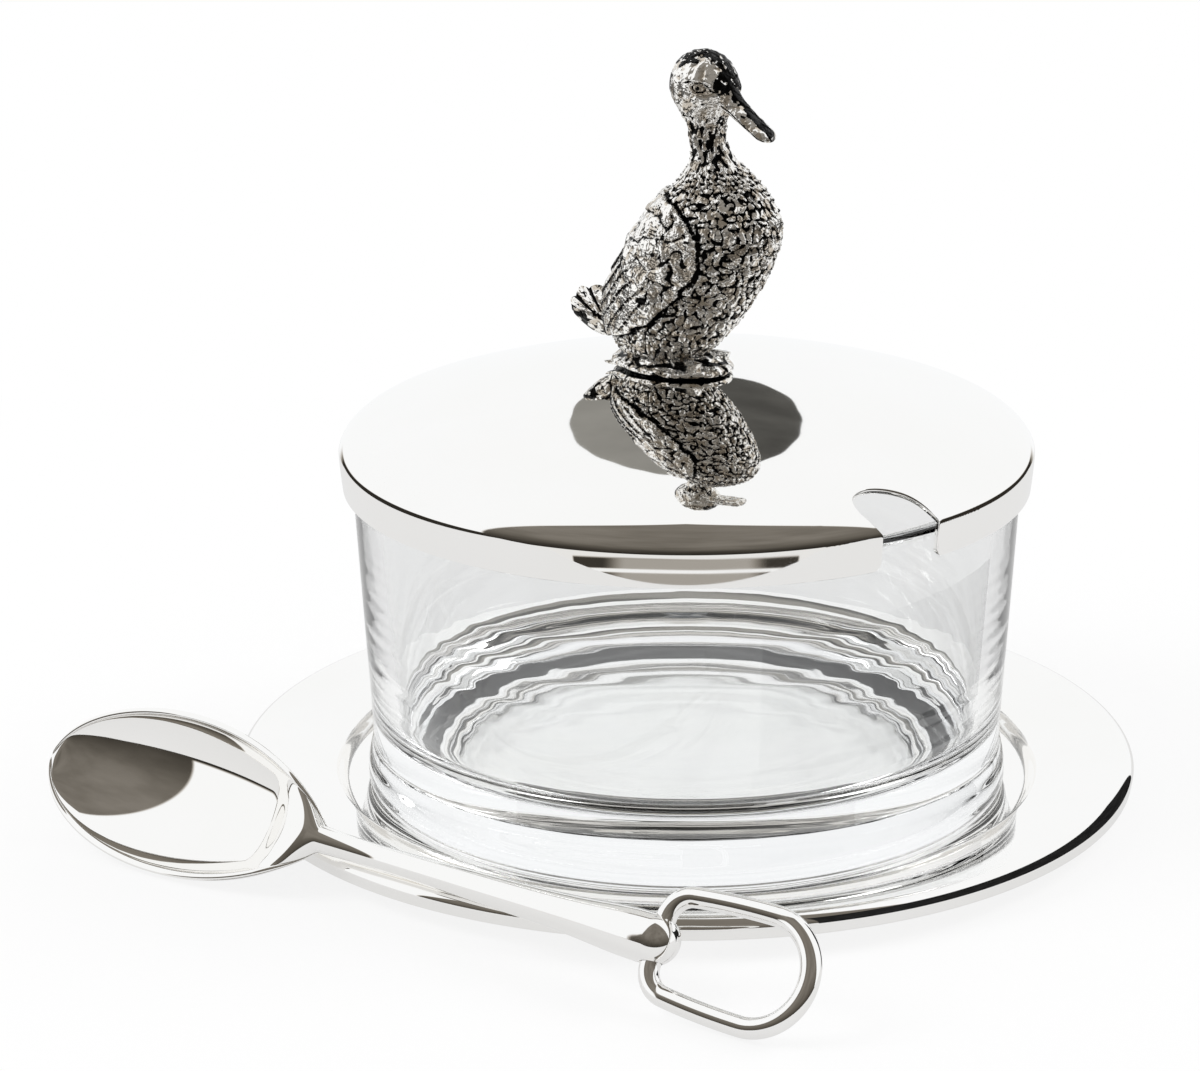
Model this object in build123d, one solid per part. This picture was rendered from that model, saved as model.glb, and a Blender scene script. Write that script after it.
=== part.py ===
"""Jam pot: a glass jar on a silver saucer, with a loose domed lid, a duck finial and a ring-ended spoon.

Units are millimetres. +Z is up. The origin is the middle of the saucer's underside, on the table.
The spoon slot of the lid is at the right front (+X, -Y), and the duck looks the same way.
"""
from math import asin, cos, radians, sin
import os

from build123d import *

# Overall sizes
saucer_d = 140.0
pot_d = 102.9
glass_height = 52.45
lid_rise = 12.7
finial_height = 50.2
spoon_reach = 99.0

# Fits and clearances
rest_gap = 0.05
lid_side_gap = 0.50
eye_running_gap = 0.10
screw_running_gap = 0.08
clearance_hole_gap = 0.20

# Saucer: a pressed disc with a flat seat for the glass, a gently rising border and a rolled edge
sheet = 1.2
seat_play = 2.7
seat_wall_run = 3.0
border_inner_z = 4.6
border_outer_z = 6.3
border_slope = 0.25
edge_slope = 0.06
edge_roll_run = 4.2
edge_drop = 2.3
edge_lip = 0.9
edge_lip_t = 0.96
edge_lean = 0.35
bend_shift = 0.3

# Glass: heavy base, soft waist above the foot, walls that open slightly towards the rim
foot_height = 4.2
foot_round = 2.0
waist_z = 8.0
wall_foot_z = 12.6
glass_base = 8.4
inner_corner_r = 6.0
rim_round = 1.1

# How far each of these lies inside the glass's largest radius
foot_in = 1.55
waist_in = 2.7
wall_foot_in = 2.25
inner_rim_in = 3.15
inner_floor_in = 6.05
slot_end_in = 4.95

# Lid: a spun sheet with a short skirt, a round shoulder and a low dome
lid_sheet = 0.85
skirt_drop = 4.0
skirt_height = 5.4
skirt_flare = 0.5
shoulder_run = 4.7
shoulder_rise = 4.3
dome_power = 1.93
dome_steps = 4
ledge_width = 1.5
ledge_height = 1.1

# Spoon slot of the lid
slot_angle = -52.4
slot_half_width = 5.35
slot_slant = 0.75
slot_corner_r = 1.2
ledge_free_half_angle = 14.0
cut_past = 12.0

# Duck finial: stands left of the lid's middle, turned towards the right front
duck_heading = -36.0
duck_x = -1.9
duck_y = -0.6
duck_sink = 0.75
duck_drawn_height = 50.2

# Egg forms of the duck as drawn: middle x and z, half length, width and height, nose-up angle, seam angle
rock = (-0.2, 0.8, 10.2, 7.3, 5.2, 0, 70)
breast = (7.8, 22.7, 10.6, 8.6, 9.0, 22, 200)
rump = (1.2, 13.4, 12.6, 8.6, 8.5, 37, 130)
head = (5.6, 44.6, 5.6, 4.7, 5.6, 0, 250)

# Oval cuts through the duck as drawn: x, z, half height, half width
neck_cuts = [(7.0, 29.0, 6.2, 5.6), (7.1, 34.5, 3.3, 3.2), (6.6, 38.0, 3.3, 3.1), (6.2, 42.0, 4.2, 3.7)]
bill_cuts = [(9.4, 43.2, 2.4, 2.5), (13.2, 40.7, 1.3, 2.3), (17.6, 37.8, 0.7, 2.2)]
bill_droop = 33.0
tail_cuts = [(-8.5, 9.9, 6.0, 5.2), (-13.0, 8.7, 4.2, 5.2), (-17.4, 7.9, 2.2, 4.8)]
tail_droop = 4.0

# Fixing under the dome
screw_d = 4.0
screw_head_d = 7.4
screw_head_h = 2.6
screw_head_round = 0.6
screw_depth = 5.2
hole_past_screw = 0.5
washer_d = 11.0
washer_t = 1.0
hex_socket = 2.5
hex_depth = 1.5
pad_d = 13.0
pad_drop = 0.5

# Spoon, drawn with its bowl's rim in the plane z 0 and its stem along +X
bowl_half_length = 24.0
bowl_half_width = 12.3
bowl_depth = 6.9
spoon_sheet = 1.25
neck_d = 3.8
stem_d = 4.35
stem_late_d = 5.84
stem_end_d = 7.3
stem_step = 0.03
stem_sag = 2.6
eye_from_end = 11.5
cap_overlap = 0.6

# Where the spoon lies
spoon_turn = -33.4
spoon_pitch = 1.6
spoon_roll = 56.1
bowl_along = -45.2
bowl_beyond_edge = 0.9
bowl_z = 11.22

# Ring of the spoon
ring_wire = 3.0
ring_half_width = 7.9
ring_length = 24.1
ring_corner_r = 3.9
ring_straight_short = 0.35

# Heights and radii that follow
glass_r = pot_d / 2
foot_r = glass_r - foot_in
waist_r = glass_r - waist_in
wall_foot_r = glass_r - wall_foot_in
inner_rim_r = glass_r - inner_rim_in
inner_floor_r = glass_r - inner_floor_in
slot_end_r = glass_r - slot_end_in
seat_r = foot_r + seat_play
saucer_r = saucer_d / 2
foot_z = sheet + rest_gap
floor_z = foot_z + glass_base
rim_z = foot_z + glass_height
ledge_z = rim_z + rest_gap
skirt_inner_r = glass_r + lid_side_gap
skirt_r = skirt_inner_r + lid_sheet
skirt_z = ledge_z - skirt_drop
shoulder_z = skirt_z + skirt_height
shoulder_r = skirt_r + skirt_flare
dome_r = shoulder_r - shoulder_run
dome_edge_z = shoulder_z + shoulder_rise
dome_top_z = shoulder_z + lid_rise
eye_x = spoon_reach - eye_from_end


def spun(edges):
    """Solid spun round the Z axis from a closed outline of edges drawn as radius and height."""
    return revolve(make_face(Plane.XZ * Wire(edges)), Axis.Z, 360)


def make_saucer():
    """Sheet disc: flat seat, wall, rising border, rolled edge that ends in a small lip."""
    wall_top_r = seat_r + seat_wall_run
    border_end_r = saucer_r - edge_roll_run
    edge_z = border_outer_z - edge_drop
    lip_z = edge_z - edge_lip
    lip_r = saucer_r - edge_lean
    rising = (1, border_slope)
    level = (1, edge_slope)
    falling_back = (-1, -border_slope)
    seat = Line((0, sheet), (seat_r, sheet))
    wall = Spline(seat @ 1, (wall_top_r, border_inner_z), tangents=[rising, rising])
    border = Spline(wall @ 1, (border_end_r, border_outer_z), tangents=[rising, level])
    roll = Spline(border @ 1, (saucer_r, edge_z), tangents=[level, (0, -1)])
    lip = Line(roll @ 1, (lip_r, lip_z))
    lip_end = Line(lip @ 1, (lip_r - edge_lip_t, lip_z))
    roll_back = Spline(
        lip_end @ 1, (border_end_r, border_outer_z - sheet), tangents=[(0, 1), (-1, -edge_slope)]
    )
    border_back = Spline(
        roll_back @ 1,
        (wall_top_r + bend_shift, border_inner_z - sheet),
        tangents=[(-1, -edge_slope), falling_back],
    )
    wall_back = Spline(border_back @ 1, (seat_r + bend_shift, 0), tangents=[falling_back, falling_back])
    base = Line(wall_back @ 1, (0, 0))
    middle = Line((0, 0), (0, sheet))
    return spun([seat, wall, border, roll, lip, lip_end, roll_back, border_back, wall_back, base, middle])


def make_glass():
    """Thick-bottomed glass: foot, waist, opening wall, rounded rim and a hollow with a round corner."""
    rim_mid = (glass_r + inner_rim_r) / 2
    edge_z = rim_z - rim_round
    corner_z = floor_z + inner_corner_r
    wall_lean = (glass_r - wall_foot_r, edge_z - foot_z - wall_foot_z)
    inner_lean = (inner_floor_r - inner_rim_r, corner_z - edge_z)
    underside = Line((0, foot_z), (foot_r - foot_round, foot_z))
    foot_corner = JernArc(underside @ 1, (1, 0), foot_round, 90)
    foot = Line(foot_corner @ 1, (foot_r, foot_z + foot_height))
    to_waist = Spline(foot @ 1, (waist_r, foot_z + waist_z), tangents=[(0, 1), (0, 1)])
    from_waist = Spline(to_waist @ 1, (wall_foot_r, foot_z + wall_foot_z), tangents=[(0, 1), wall_lean])
    wall = Line(from_waist @ 1, (glass_r, edge_z))
    rim = Spline(wall @ 1, (rim_mid, rim_z), (inner_rim_r, edge_z), tangents=[wall_lean, inner_lean])
    inner_wall = Line(rim @ 1, (inner_floor_r, corner_z))
    inner_corner = Spline(
        inner_wall @ 1, (inner_floor_r - inner_corner_r, floor_z), tangents=[inner_lean, (-1, 0)]
    )
    inner_floor = Line(inner_corner @ 1, (0, floor_z))
    middle = Line(inner_floor @ 1, (0, foot_z))
    return spun([
        underside, foot_corner, foot, to_waist, from_waist, wall, rim, inner_wall, inner_corner,
        inner_floor, middle,
    ])


def dome_height(r, inset=0.0):
    """Height over the table of the dome at radius r: a low power curve down to the shoulder."""
    return dome_edge_z - inset + (lid_rise - shoulder_rise) * (1 - (r / dome_r) ** dome_power)


def dome_slope(r):
    """Slope of the dome's curve at radius r."""
    return -(lid_rise - shoulder_rise) * dome_power / dome_r * (r / dome_r) ** (dome_power - 1)


def pad_under_z():
    """Height of the flat pad inside the dome, where the washer sits."""
    return dome_height(pad_d / 2) - lid_sheet - pad_drop


def lid_block(inset):
    """Solid under one face of the lid's sheet, down to the level of the skirt's edge."""
    dome_points = [(r, dome_height(r, inset)) for r in (dome_r * i / dome_steps for i in range(dome_steps + 1))]
    run = shoulder_run - inset
    rise = shoulder_rise - inset
    bend_points = [
        (dome_r + run * sin(radians(a)), shoulder_z + rise * cos(radians(a))) for a in (30, 60, 90)
    ]
    edge_way = (1, dome_slope(dome_r))
    dome = Spline(*dome_points, tangents=[(1, 0), edge_way])
    bend = Spline(dome @ 1, *bend_points, tangents=[edge_way, (0, -1)])
    skirt = Line(bend @ 1, (skirt_r - inset, skirt_z))
    under = Line(skirt @ 1, (0, skirt_z))
    middle = Line(under @ 1, dome @ 0)
    return spun([dome, bend, skirt, under, middle])


def slot_outline():
    """U shape that opens outwards, its round end at slot_end_r, turned to the slot's direction."""
    centre = slot_end_r + slot_half_width
    far = skirt_r + cut_past
    mouth = Pos((centre + far) / 2, 0) * Rectangle(far - centre, 2 * slot_half_width)
    return Rot(0, 0, slot_angle) * (mouth + Pos(centre, 0) * Circle(slot_half_width))


def is_slot_corner(edge):
    """True for the short edges where the slot's sides meet the skirt's lower edge."""
    near = lid_sheet / 3
    return abs(edge.length - lid_sheet) < near and edge.center().Z < skirt_z + near


def make_lid():
    """Spun sheet lid: dome, shoulder and skirt, a ledge that sits on the glass rim, and the spoon slot."""
    shell = lid_block(0) - lid_block(lid_sheet)
    band = Circle(skirt_inner_r + skirt_flare) - Circle(glass_r - ledge_width)
    ledge = Pos(0, 0, ledge_z) * extrude(band, ledge_height)
    free_x = glass_r * cos(radians(ledge_free_half_angle))
    free_y = glass_r * sin(radians(ledge_free_half_angle))
    free = Rot(0, 0, slot_angle) * Pos(free_x, 0, ledge_z) * Box(3 * cut_past, 2 * free_y, cut_past)
    shell += ledge - free
    mouth = Pos(0, 0, skirt_z - cut_past) * extrude(slot_outline(), shoulder_z - skirt_z + cut_past)
    slanting_up = Vector(0, -slot_slant, 1).rotate(Axis.Z, slot_angle)
    upper = extrude(Pos(0, 0, shoulder_z) * slot_outline(), cut_past, dir=slanting_up)
    shell -= mouth + upper
    pad_height = dome_height(0) - lid_sheet / 2 - pad_under_z()
    shell += Pos(0, 0, pad_under_z()) * extrude(Circle(pad_d / 2), pad_height)
    shell -= Pos(0, 0, dome_top_z) * Cylinder(screw_d / 2 + clearance_hole_gap, 2 * cut_past)
    return fillet([e for e in shell.edges() if is_slot_corner(e)], slot_corner_r)


def egg(form):
    """Ellipsoid of the duck, nose up by its angle; each has its seam on another side, so joins stay clean."""
    x, z, half_length, half_width, half_height, nose_up, seam = form
    round_form = scale(Rot(0, 0, seam) * Sphere(1), by=(half_length, half_width, half_height))
    return Pos(x, 0, z) * Rot(0, -nose_up, 0) * round_form


def through(cuts, tilt):
    """Smooth body through oval cuts in the duck's middle plane, their faces tilted from level."""
    return loft([Pos(x, 0, z) * Rot(0, tilt, 0) * Ellipse(high, wide) for x, z, high, wide in cuts])


def make_duck():
    """Cast duck on a small rock, with a tapped hole for the screw up through the rock."""
    bird = egg(rock) + egg(rump) + egg(breast) + through(neck_cuts, 0) + egg(head)
    bird += through(bill_cuts, 90 + bill_droop)
    bird += through(tail_cuts, tail_droop - 90)
    bird = scale(bird, by=finial_height / duck_drawn_height)
    placed = Pos(duck_x, duck_y, dome_top_z - duck_sink) * Rot(0, 0, duck_heading) * bird
    placed -= lid_block(0)
    hole_r = screw_d / 2 + screw_running_gap
    hole_top = dome_top_z + screw_depth + hole_past_screw
    hole = Pos(0, 0, dome_top_z - cut_past) * extrude(Circle(hole_r), hole_top - dome_top_z + cut_past)
    return placed - hole


def make_washer():
    """Flat washer between the screw's head and the pad."""
    ring = Circle(washer_d / 2) - Circle(screw_d / 2 + clearance_hole_gap)
    return Pos(0, 0, pad_under_z() - rest_gap - washer_t) * extrude(ring, washer_t)


def make_screw():
    """Socket-head screw up through washer and dome into the finial."""
    head_z = pad_under_z() - 2 * rest_gap - washer_t - screw_head_h
    body = extrude(Circle(screw_head_d / 2), screw_head_h)
    body = fillet(body.edges().group_by(Axis.Z)[0], screw_head_round)
    body += extrude(Circle(screw_d / 2), dome_top_z + screw_depth - head_z)
    body -= extrude(RegularPolygon(hex_socket / 2, 6, major_radius=False), hex_depth)
    return Pos(0, 0, head_z) * body


def spoon_place(shape):
    """Carry a shape from the spoon's own frame to where the spoon lies, its stem just over the saucer's edge."""
    lying = Rot(0, 0, spoon_turn) * Pos(bowl_along, -saucer_r - bowl_beyond_edge, bowl_z)
    return lying * Rot(0, spoon_pitch, 0) * Rot(spoon_roll, 0, 0) * shape


def half_egg(shrink):
    """Lower half of the bowl's oval, smaller by shrink on every side."""
    lower = Pos(0, 0, -bowl_depth) * Box(3 * bowl_half_length, 3 * bowl_half_width, 2 * bowl_depth)
    halves = (bowl_half_length - shrink, bowl_half_width - shrink, bowl_depth - shrink)
    return scale(Sphere(1), by=halves) & lower


def make_spoon():
    """Oval bowl, round stem that thickens to its end, and a cross hole for the ring."""
    end_r = stem_end_d / 2
    root_x = bowl_half_length - 1.25 * spoon_sheet
    neck_x = bowl_half_length + 1.5 * neck_d
    stem_cuts = [
        (root_x, -0.55 * stem_sag, 0.6 * neck_d, spoon_sheet),
        (neck_x, -stem_sag, neck_d / 2, neck_d / 2),
        (eye_x * 0.60, -0.92 * stem_sag, stem_d / 2, stem_d / 2),
        (eye_x * 0.84, -0.35 * stem_sag, stem_late_d / 2, stem_late_d / 2),
        (eye_x - end_r, -0.04 * stem_sag, end_r - stem_step, end_r - stem_step),
    ]
    stem = loft([Pos(x, 0, z) * Rot(0, 90, 0) * Ellipse(high, wide) for x, z, wide, high in stem_cuts])
    side = Line((eye_x - end_r - cap_overlap, end_r), (eye_x - cap_overlap, end_r))
    nose = JernArc(side @ 1, (1, 0), end_r, -90)
    middle = Line(nose @ 1, ((side @ 0).X, 0))
    back = Line(middle @ 1, side @ 0)
    cap = revolve(make_face(Wire([side, nose, middle, back])), Axis.X, 360)
    eye = Pos(eye_x, 0, 0) * Rot(90, 0, 0) * Cylinder(ring_wire / 2 + eye_running_gap, 3 * stem_end_d)
    bowl = half_egg(0) - half_egg(spoon_sheet)
    return spoon_place(bowl + (stem - half_egg(spoon_sheet)) + cap - eye)


def ring_path():
    """Closed oval of the ring's wire: a straight run in the eye, two tight corners, long sides, round end."""
    straight = stem_end_d / 2 - ring_straight_short
    end_x = ring_length - ring_half_width
    drop = ring_half_width - straight
    run = end_x - ring_corner_r
    side_r = (run ** 2 + drop ** 2 - ring_corner_r ** 2) / (2 * (drop - ring_corner_r))
    lean = asin(run / (side_r - ring_corner_r))
    join_x = ring_corner_r - ring_corner_r * sin(lean)
    join_y = straight + ring_corner_r * cos(lean)
    in_eye = Line((0, -straight), (0, straight))
    corner = TangentArc((0, straight), (join_x, join_y), tangent=(0, 1))
    side = TangentArc((join_x, join_y), (end_x, ring_half_width), tangent=(cos(lean), sin(lean)))
    end = ThreePointArc((end_x, ring_half_width), (ring_length, 0), (end_x, -ring_half_width))
    other_corner = TangentArc((0, -straight), (join_x, -join_y), tangent=(0, -1))
    other_side = TangentArc((join_x, -join_y), (end_x, -ring_half_width), tangent=(cos(lean), -sin(lean)))
    return Wire([in_eye, corner, side, end, other_side, other_corner])


def make_ring():
    """Oval wire ring threaded through the stem's end."""
    path = ring_path()
    section = Plane(origin=path @ 0, z_dir=path % 0) * Circle(ring_wire / 2)
    return spoon_place(Pos(eye_x, 0, 0) * sweep(section, path=path))


nodes = {
    "saucer": make_saucer(),
    "glass_pot": make_glass(),
    "lid": make_lid(),
    "duck_finial": make_duck(),
    "finial_washer": make_washer(),
    "finial_screw": make_screw(),
    "spoon": make_spoon(),
    "spoon_ring": make_ring(),
}

os.makedirs("parts", exist_ok=True)
for name, shape in nodes.items():
    export_step(shape.solid(), f"parts/{name}.step")
    box = shape.bounding_box()
    print(name, len(shape.solids()), round(shape.volume, 1), [round(v, 2) for v in (*box.min, *box.max)])
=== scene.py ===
"""Looks of the jam pot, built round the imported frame. Lengths in the mesh formulas are millimetres; the
studio, its lamps, cards and camera are in metres."""
import math
import bmesh
import bpy
import numpy as np
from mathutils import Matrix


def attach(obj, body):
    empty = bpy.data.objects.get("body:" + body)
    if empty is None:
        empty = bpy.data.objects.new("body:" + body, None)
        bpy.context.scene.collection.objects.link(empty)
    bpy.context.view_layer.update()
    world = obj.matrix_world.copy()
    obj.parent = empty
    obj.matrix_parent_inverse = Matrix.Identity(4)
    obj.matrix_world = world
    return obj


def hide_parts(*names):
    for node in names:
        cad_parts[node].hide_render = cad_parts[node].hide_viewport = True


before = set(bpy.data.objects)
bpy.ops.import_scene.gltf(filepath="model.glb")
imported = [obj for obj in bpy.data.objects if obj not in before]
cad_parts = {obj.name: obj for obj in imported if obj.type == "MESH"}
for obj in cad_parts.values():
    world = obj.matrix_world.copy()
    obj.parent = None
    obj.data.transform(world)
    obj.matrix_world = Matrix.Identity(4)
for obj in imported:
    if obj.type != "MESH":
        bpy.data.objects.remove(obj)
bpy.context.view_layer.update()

# Studio: the pot stands on a plain white table inside a tent of white cloth. The tent is open towards the
# camera, with a dark board low in that opening and a bright line across it, and a dark gap runs round under
# its lower edge. Polished metal and glass show these as their dark and bright shapes.
TABLE_SIDE = 0.190
TABLE_FRONT = -0.131
TABLE_BACK = 0.215
OPENING_SLANT = -0.634
BOARD_SLANT = -1.28
TURNS_OF_LIGHT = 12


def linear(hex_colour):
    """sRGB hex string to the linear colour that the shader sockets take."""
    parts = [int(hex_colour[i:i + 2], 16) / 255 for i in (0, 2, 4)]
    return tuple(c / 12.92 if c <= 0.04045 else ((c + 0.055) / 1.055) ** 2.4 for c in parts) + (1.0,)


def add(tree, kind, inputs=None, **settings):
    """Adds one node with its settings. An input is a plain value or another node's output socket."""
    node = tree.nodes.new(kind)
    for name, value in settings.items():
        setattr(node, name, value)
    for key, value in (inputs or {}).items():
        if isinstance(value, bpy.types.NodeSocket):
            tree.links.new(value, node.inputs[key])
        else:
            node.inputs[key].default_value = value
    return node


def new_material(name):
    """Material with an empty node tree and its output node."""
    material = bpy.data.materials.new(name)
    material.use_nodes = True
    material.node_tree.nodes.clear()
    return material, material.node_tree, material.node_tree.nodes.new("ShaderNodeOutputMaterial")


world = bpy.data.worlds.new("studio_tent")
bpy.context.scene.world = world
world.use_nodes = True
sky = world.node_tree
sky.nodes.clear()
direction = add(sky, "ShaderNodeTexCoord").outputs["Generated"]
part = add(sky, "ShaderNodeSeparateXYZ", {"Vector": direction}).outputs
sideways = add(sky, "ShaderNodeMath", {0: part["X"]}, operation="ABSOLUTE").outputs[0]
to_camera = add(sky, "ShaderNodeMath", {0: part["Y"], 1: -1.0}, operation="MULTIPLY").outputs[0]
ahead, near_board = (add(sky, "ShaderNodeMath", {0: sideways, 1: slant, 2: to_camera},
                         operation="MULTIPLY_ADD").outputs[0] for slant in (OPENING_SLANT, BOARD_SLANT))

# Every direction is a unit vector. Each edge is 0 at its first number, 1 at its second and smooth between,
# and the shapes of the tent are edges multiplied together.
edge = {}
for name, value, low, high in (
        ("gap", part["Z"], -0.045, -0.085), ("not behind", part["Y"], 0.93, 0.85),
        ("opening", ahead, -0.215, -0.185), ("front", ahead, -0.6, -0.5),
        ("below", part["Z"], -0.365, -0.385), ("board", near_board, -0.01, 0.01),
        ("board top", part["Z"], -0.437, -0.447),
        ("middle", sideways, 0.42, 0.30), ("line foot", part["Z"], -0.500, -0.494),
        ("line top", part["Z"], -0.480, -0.486)):
    edge[name] = add(sky, "ShaderNodeMapRange", {"Value": value, "From Min": low, "From Max": high},
                     interpolation_type="SMOOTHSTEP").outputs["Result"]
for name, first, second in (("gap", "gap", "not behind"), ("front", "front", "below"),
                            ("board", "board", "board top"), ("middle", "board", "middle"),
                            ("line", "line foot", "line top"), ("line", "board", "line")):
    edge[name] = add(sky, "ShaderNodeMath", {0: edge[first], 1: edge[second]},
                     operation="MULTIPLY").outputs[0]

# Behind the opening lies the room: nearly black low down, dark grey higher up, and a little uneven.
room = add(sky, "ShaderNodeMapRange", {"Value": part["Z"], "From Min": -0.4, "From Max": 0.75, "To Min": 0.03,
                                       "To Max": 0.22}, interpolation_type="SMOOTHSTEP").outputs["Result"]
cloud = add(sky, "ShaderNodeTexNoise", {"Vector": direction, "Scale": 3.0, "Detail": 3.0}).outputs["Fac"]
uneven = add(sky, "ShaderNodeMapRange", {"Value": cloud, "From Min": 0.35, "From Max": 0.65, "To Min": 0.85,
                                         "To Max": 1.12}).outputs["Result"]
room = add(sky, "ShaderNodeMath", {0: room, 1: uneven}, operation="MULTIPLY").outputs[0]

# A ray that has passed through the glass sees the tent nearer to white, at most 0.68 of the way.
rays = add(sky, "ShaderNodeLightPath").outputs
through_glass = add(sky, "ShaderNodeMath", {0: rays["Transmission Depth"], 1: 0.5},
                    operation="MULTIPLY").outputs[0]
through_glass = add(sky, "ShaderNodeMath", {0: through_glass, 1: 0.68}, operation="MINIMUM").outputs[0]
wall = 1.0
for shape, level in ((edge["gap"], 0.03), (edge["opening"], room), (edge["front"], 0.86),
                     (edge["board"], 0.05), (edge["middle"], 0.42), (edge["line"], 0.95),
                     (through_glass, 1.0)):
    wall = add(sky, "ShaderNodeMix", {"Factor": shape, "A": wall, "B": level}).outputs["Result"]
cloth = add(sky, "ShaderNodeMix", {"Factor": wall, "A": linear("EBDDC8"), "B": linear("FBFCFD")},
            data_type="RGBA")

# Mirrors and glass see the tent, matt surfaces are lit evenly, and the camera sees plain white.
tent = add(sky, "ShaderNodeBackground", {"Color": cloth.outputs[2], "Strength": wall})
plain = add(sky, "ShaderNodeBackground", {"Color": linear("FFFFFF"), "Strength": 0.75})
seen = add(sky, "ShaderNodeBackground", {"Color": linear("FFFFFF"), "Strength": 1.0})
mirror_or_glass = add(sky, "ShaderNodeMath", {0: rays["Is Glossy Ray"], 1: rays["Is Transmission Ray"]},
                      operation="MAXIMUM").outputs[0]
lit = add(sky, "ShaderNodeMixShader", {0: mirror_or_glass, 1: plain.outputs[0], 2: tent.outputs[0]})
whole = add(sky, "ShaderNodeMixShader", {0: rays["Is Camera Ray"], 1: lit.outputs[0], 2: seen.outputs[0]})
add(sky, "ShaderNodeOutputWorld", {"Surface": whole.outputs[0]})

table = bpy.data.objects.new("table_top", bpy.data.meshes.new("table_top"))
bpy.context.scene.collection.objects.link(table)
table.data.from_pydata([(-TABLE_SIDE, TABLE_FRONT, 0), (TABLE_SIDE, TABLE_FRONT, 0),
                        (TABLE_SIDE, TABLE_BACK, 0), (-TABLE_SIDE, TABLE_BACK, 0)], [], [(0, 1, 2, 3)])

# White paper, matt: close to plain white to the camera and through glass, a little greyer in metal, and it
# still takes the pot's soft shadow.
white_paper, tree, out = new_material("white_paper")
rays = add(tree, "ShaderNodeLightPath").outputs
bright = rays["Is Camera Ray"]
for kind in ("Is Glossy Ray", "Is Transmission Ray"):
    bright = add(tree, "ShaderNodeMath", {0: bright, 1: rays[kind]}, operation="MAXIMUM").outputs[0]
paper = add(tree, "ShaderNodeBsdfDiffuse", {"Color": linear("F2F2F2")})
strength = add(tree, "ShaderNodeMapRange", {"Value": rays["Is Glossy Ray"], "To Min": 1.0, "To Max": 0.76})
glow = add(tree, "ShaderNodeEmission", {"Color": linear("FFFFFF"), "Strength": strength.outputs["Result"]})
mix = add(tree, "ShaderNodeMath", {0: bright, 1: 0.82}, operation="MULTIPLY").outputs[0]
mixed = add(tree, "ShaderNodeMixShader", {0: mix, 1: paper.outputs[0], 2: glow.outputs[0]})
tree.links.new(mixed.outputs[0], out.inputs["Surface"])
table.data.materials.append(white_paper)


def soft_light(name, place, size=0.6, power=5.0):
    """Square lamp at a place, turned to the middle of the pot."""
    lamp = bpy.data.lights.new(name, "AREA")
    lamp.shape = "SQUARE"
    lamp.size = size
    lamp.energy = power
    holder = bpy.data.objects.new(name, lamp)
    bpy.context.scene.collection.objects.link(holder)
    holder.location = place
    away = np.array(place) - np.array((0, 0, 0.04))
    holder.rotation_euler = (math.atan2(math.hypot(away[0], away[1]), away[2]), 0,
                             math.atan2(away[0], -away[1]))
    holder.visible_glossy = False


# Two weak lamps, high on the left and the right, which no mirror shows.
soft_light("lamp_left", (-0.9, -0.2, 0.9))
soft_light("lamp_right", (0.9, 0.3, 0.9))

# Camera at the photograph's viewing angle: it stands in front of the pot and looks down on it by 18 degrees.
camera = bpy.data.objects.new("camera", bpy.data.cameras.new("camera"))
bpy.context.scene.collection.objects.link(camera)
camera.location = (0.0, -0.58032, 0.23056)
camera.rotation_euler = [math.radians(a) for a in (71.856, 0.3422, 1.2037)]
camera.data.lens = 118.32
camera.data.sensor_width = 36.0
bpy.context.scene.camera = camera
bpy.context.scene.view_settings.view_transform = "Standard"
# Light is turned back many times inside the thick glass base before it leaves.
bpy.context.scene.cycles.glossy_bounces = TURNS_OF_LIGHT

# Saucer: silver-plated sheet, pressed with a flat seat and a gently rising border whose edge is rolled down.
# It is polished to a mirror, so its colour is what it reflects.
SAUCER_R = 70.0
SAUCER_TURNS = 360
SEAT_R = 52.6
SHEET = 1.2
WALL_Z = 4.6
BORDER_Z = 6.3
EDGE_Z = 4.7
LIP_Z = 3.2


def flowing(points, start_way, end_way, count):
    """Cubic spline through the points, smooth to the second order, leaving and arriving in the given ways.
    Its speeds at the points solve the usual three-term rule of a natural join."""
    points = np.asarray(points, float)
    gaps = np.linalg.norm(np.diff(points, axis=0), axis=1)
    at = np.r_[0, np.cumsum(gaps)]
    rises = np.diff(points, axis=0) / gaps[:, None]
    n = len(points)
    rule = np.eye(n)
    speeds = np.zeros_like(points)
    speeds[0] = np.asarray(start_way, float) / np.linalg.norm(start_way)
    speeds[-1] = np.asarray(end_way, float) / np.linalg.norm(end_way)
    inner = np.arange(1, n - 1)
    rule[inner, inner] = 2 * (gaps[:-1] + gaps[1:])
    rule[inner, inner - 1] = gaps[1:]
    rule[inner, inner + 1] = gaps[:-1]
    speeds[1:-1] = 3 * (gaps[1:, None] * rises[:-1] + gaps[:-1, None] * rises[1:])
    speeds = np.linalg.solve(rule, speeds)
    where = np.linspace(0, at[-1], count)
    k = np.clip(np.searchsorted(at, where, "right") - 1, 0, n - 2)
    u = ((where - at[k]) / gaps[k])[:, None]
    h = gaps[k][:, None]
    return ((1 + 2 * u) * (1 - u) ** 2 * points[k] + u * (1 - u) ** 2 * h * speeds[k]
            + u ** 2 * (3 - 2 * u) * points[k + 1] + u ** 2 * (u - 1) * h * speeds[k + 1])


def chain(*runs):
    """Joins runs of profile points, leaving out the doubled point at each join."""
    return np.vstack([runs[0]] + [np.asarray(run)[1:] for run in runs[1:]])


def straight(a, b, count):
    """Evenly spaced points on the line from a to b."""
    return np.linspace(a, b, count)


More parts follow.
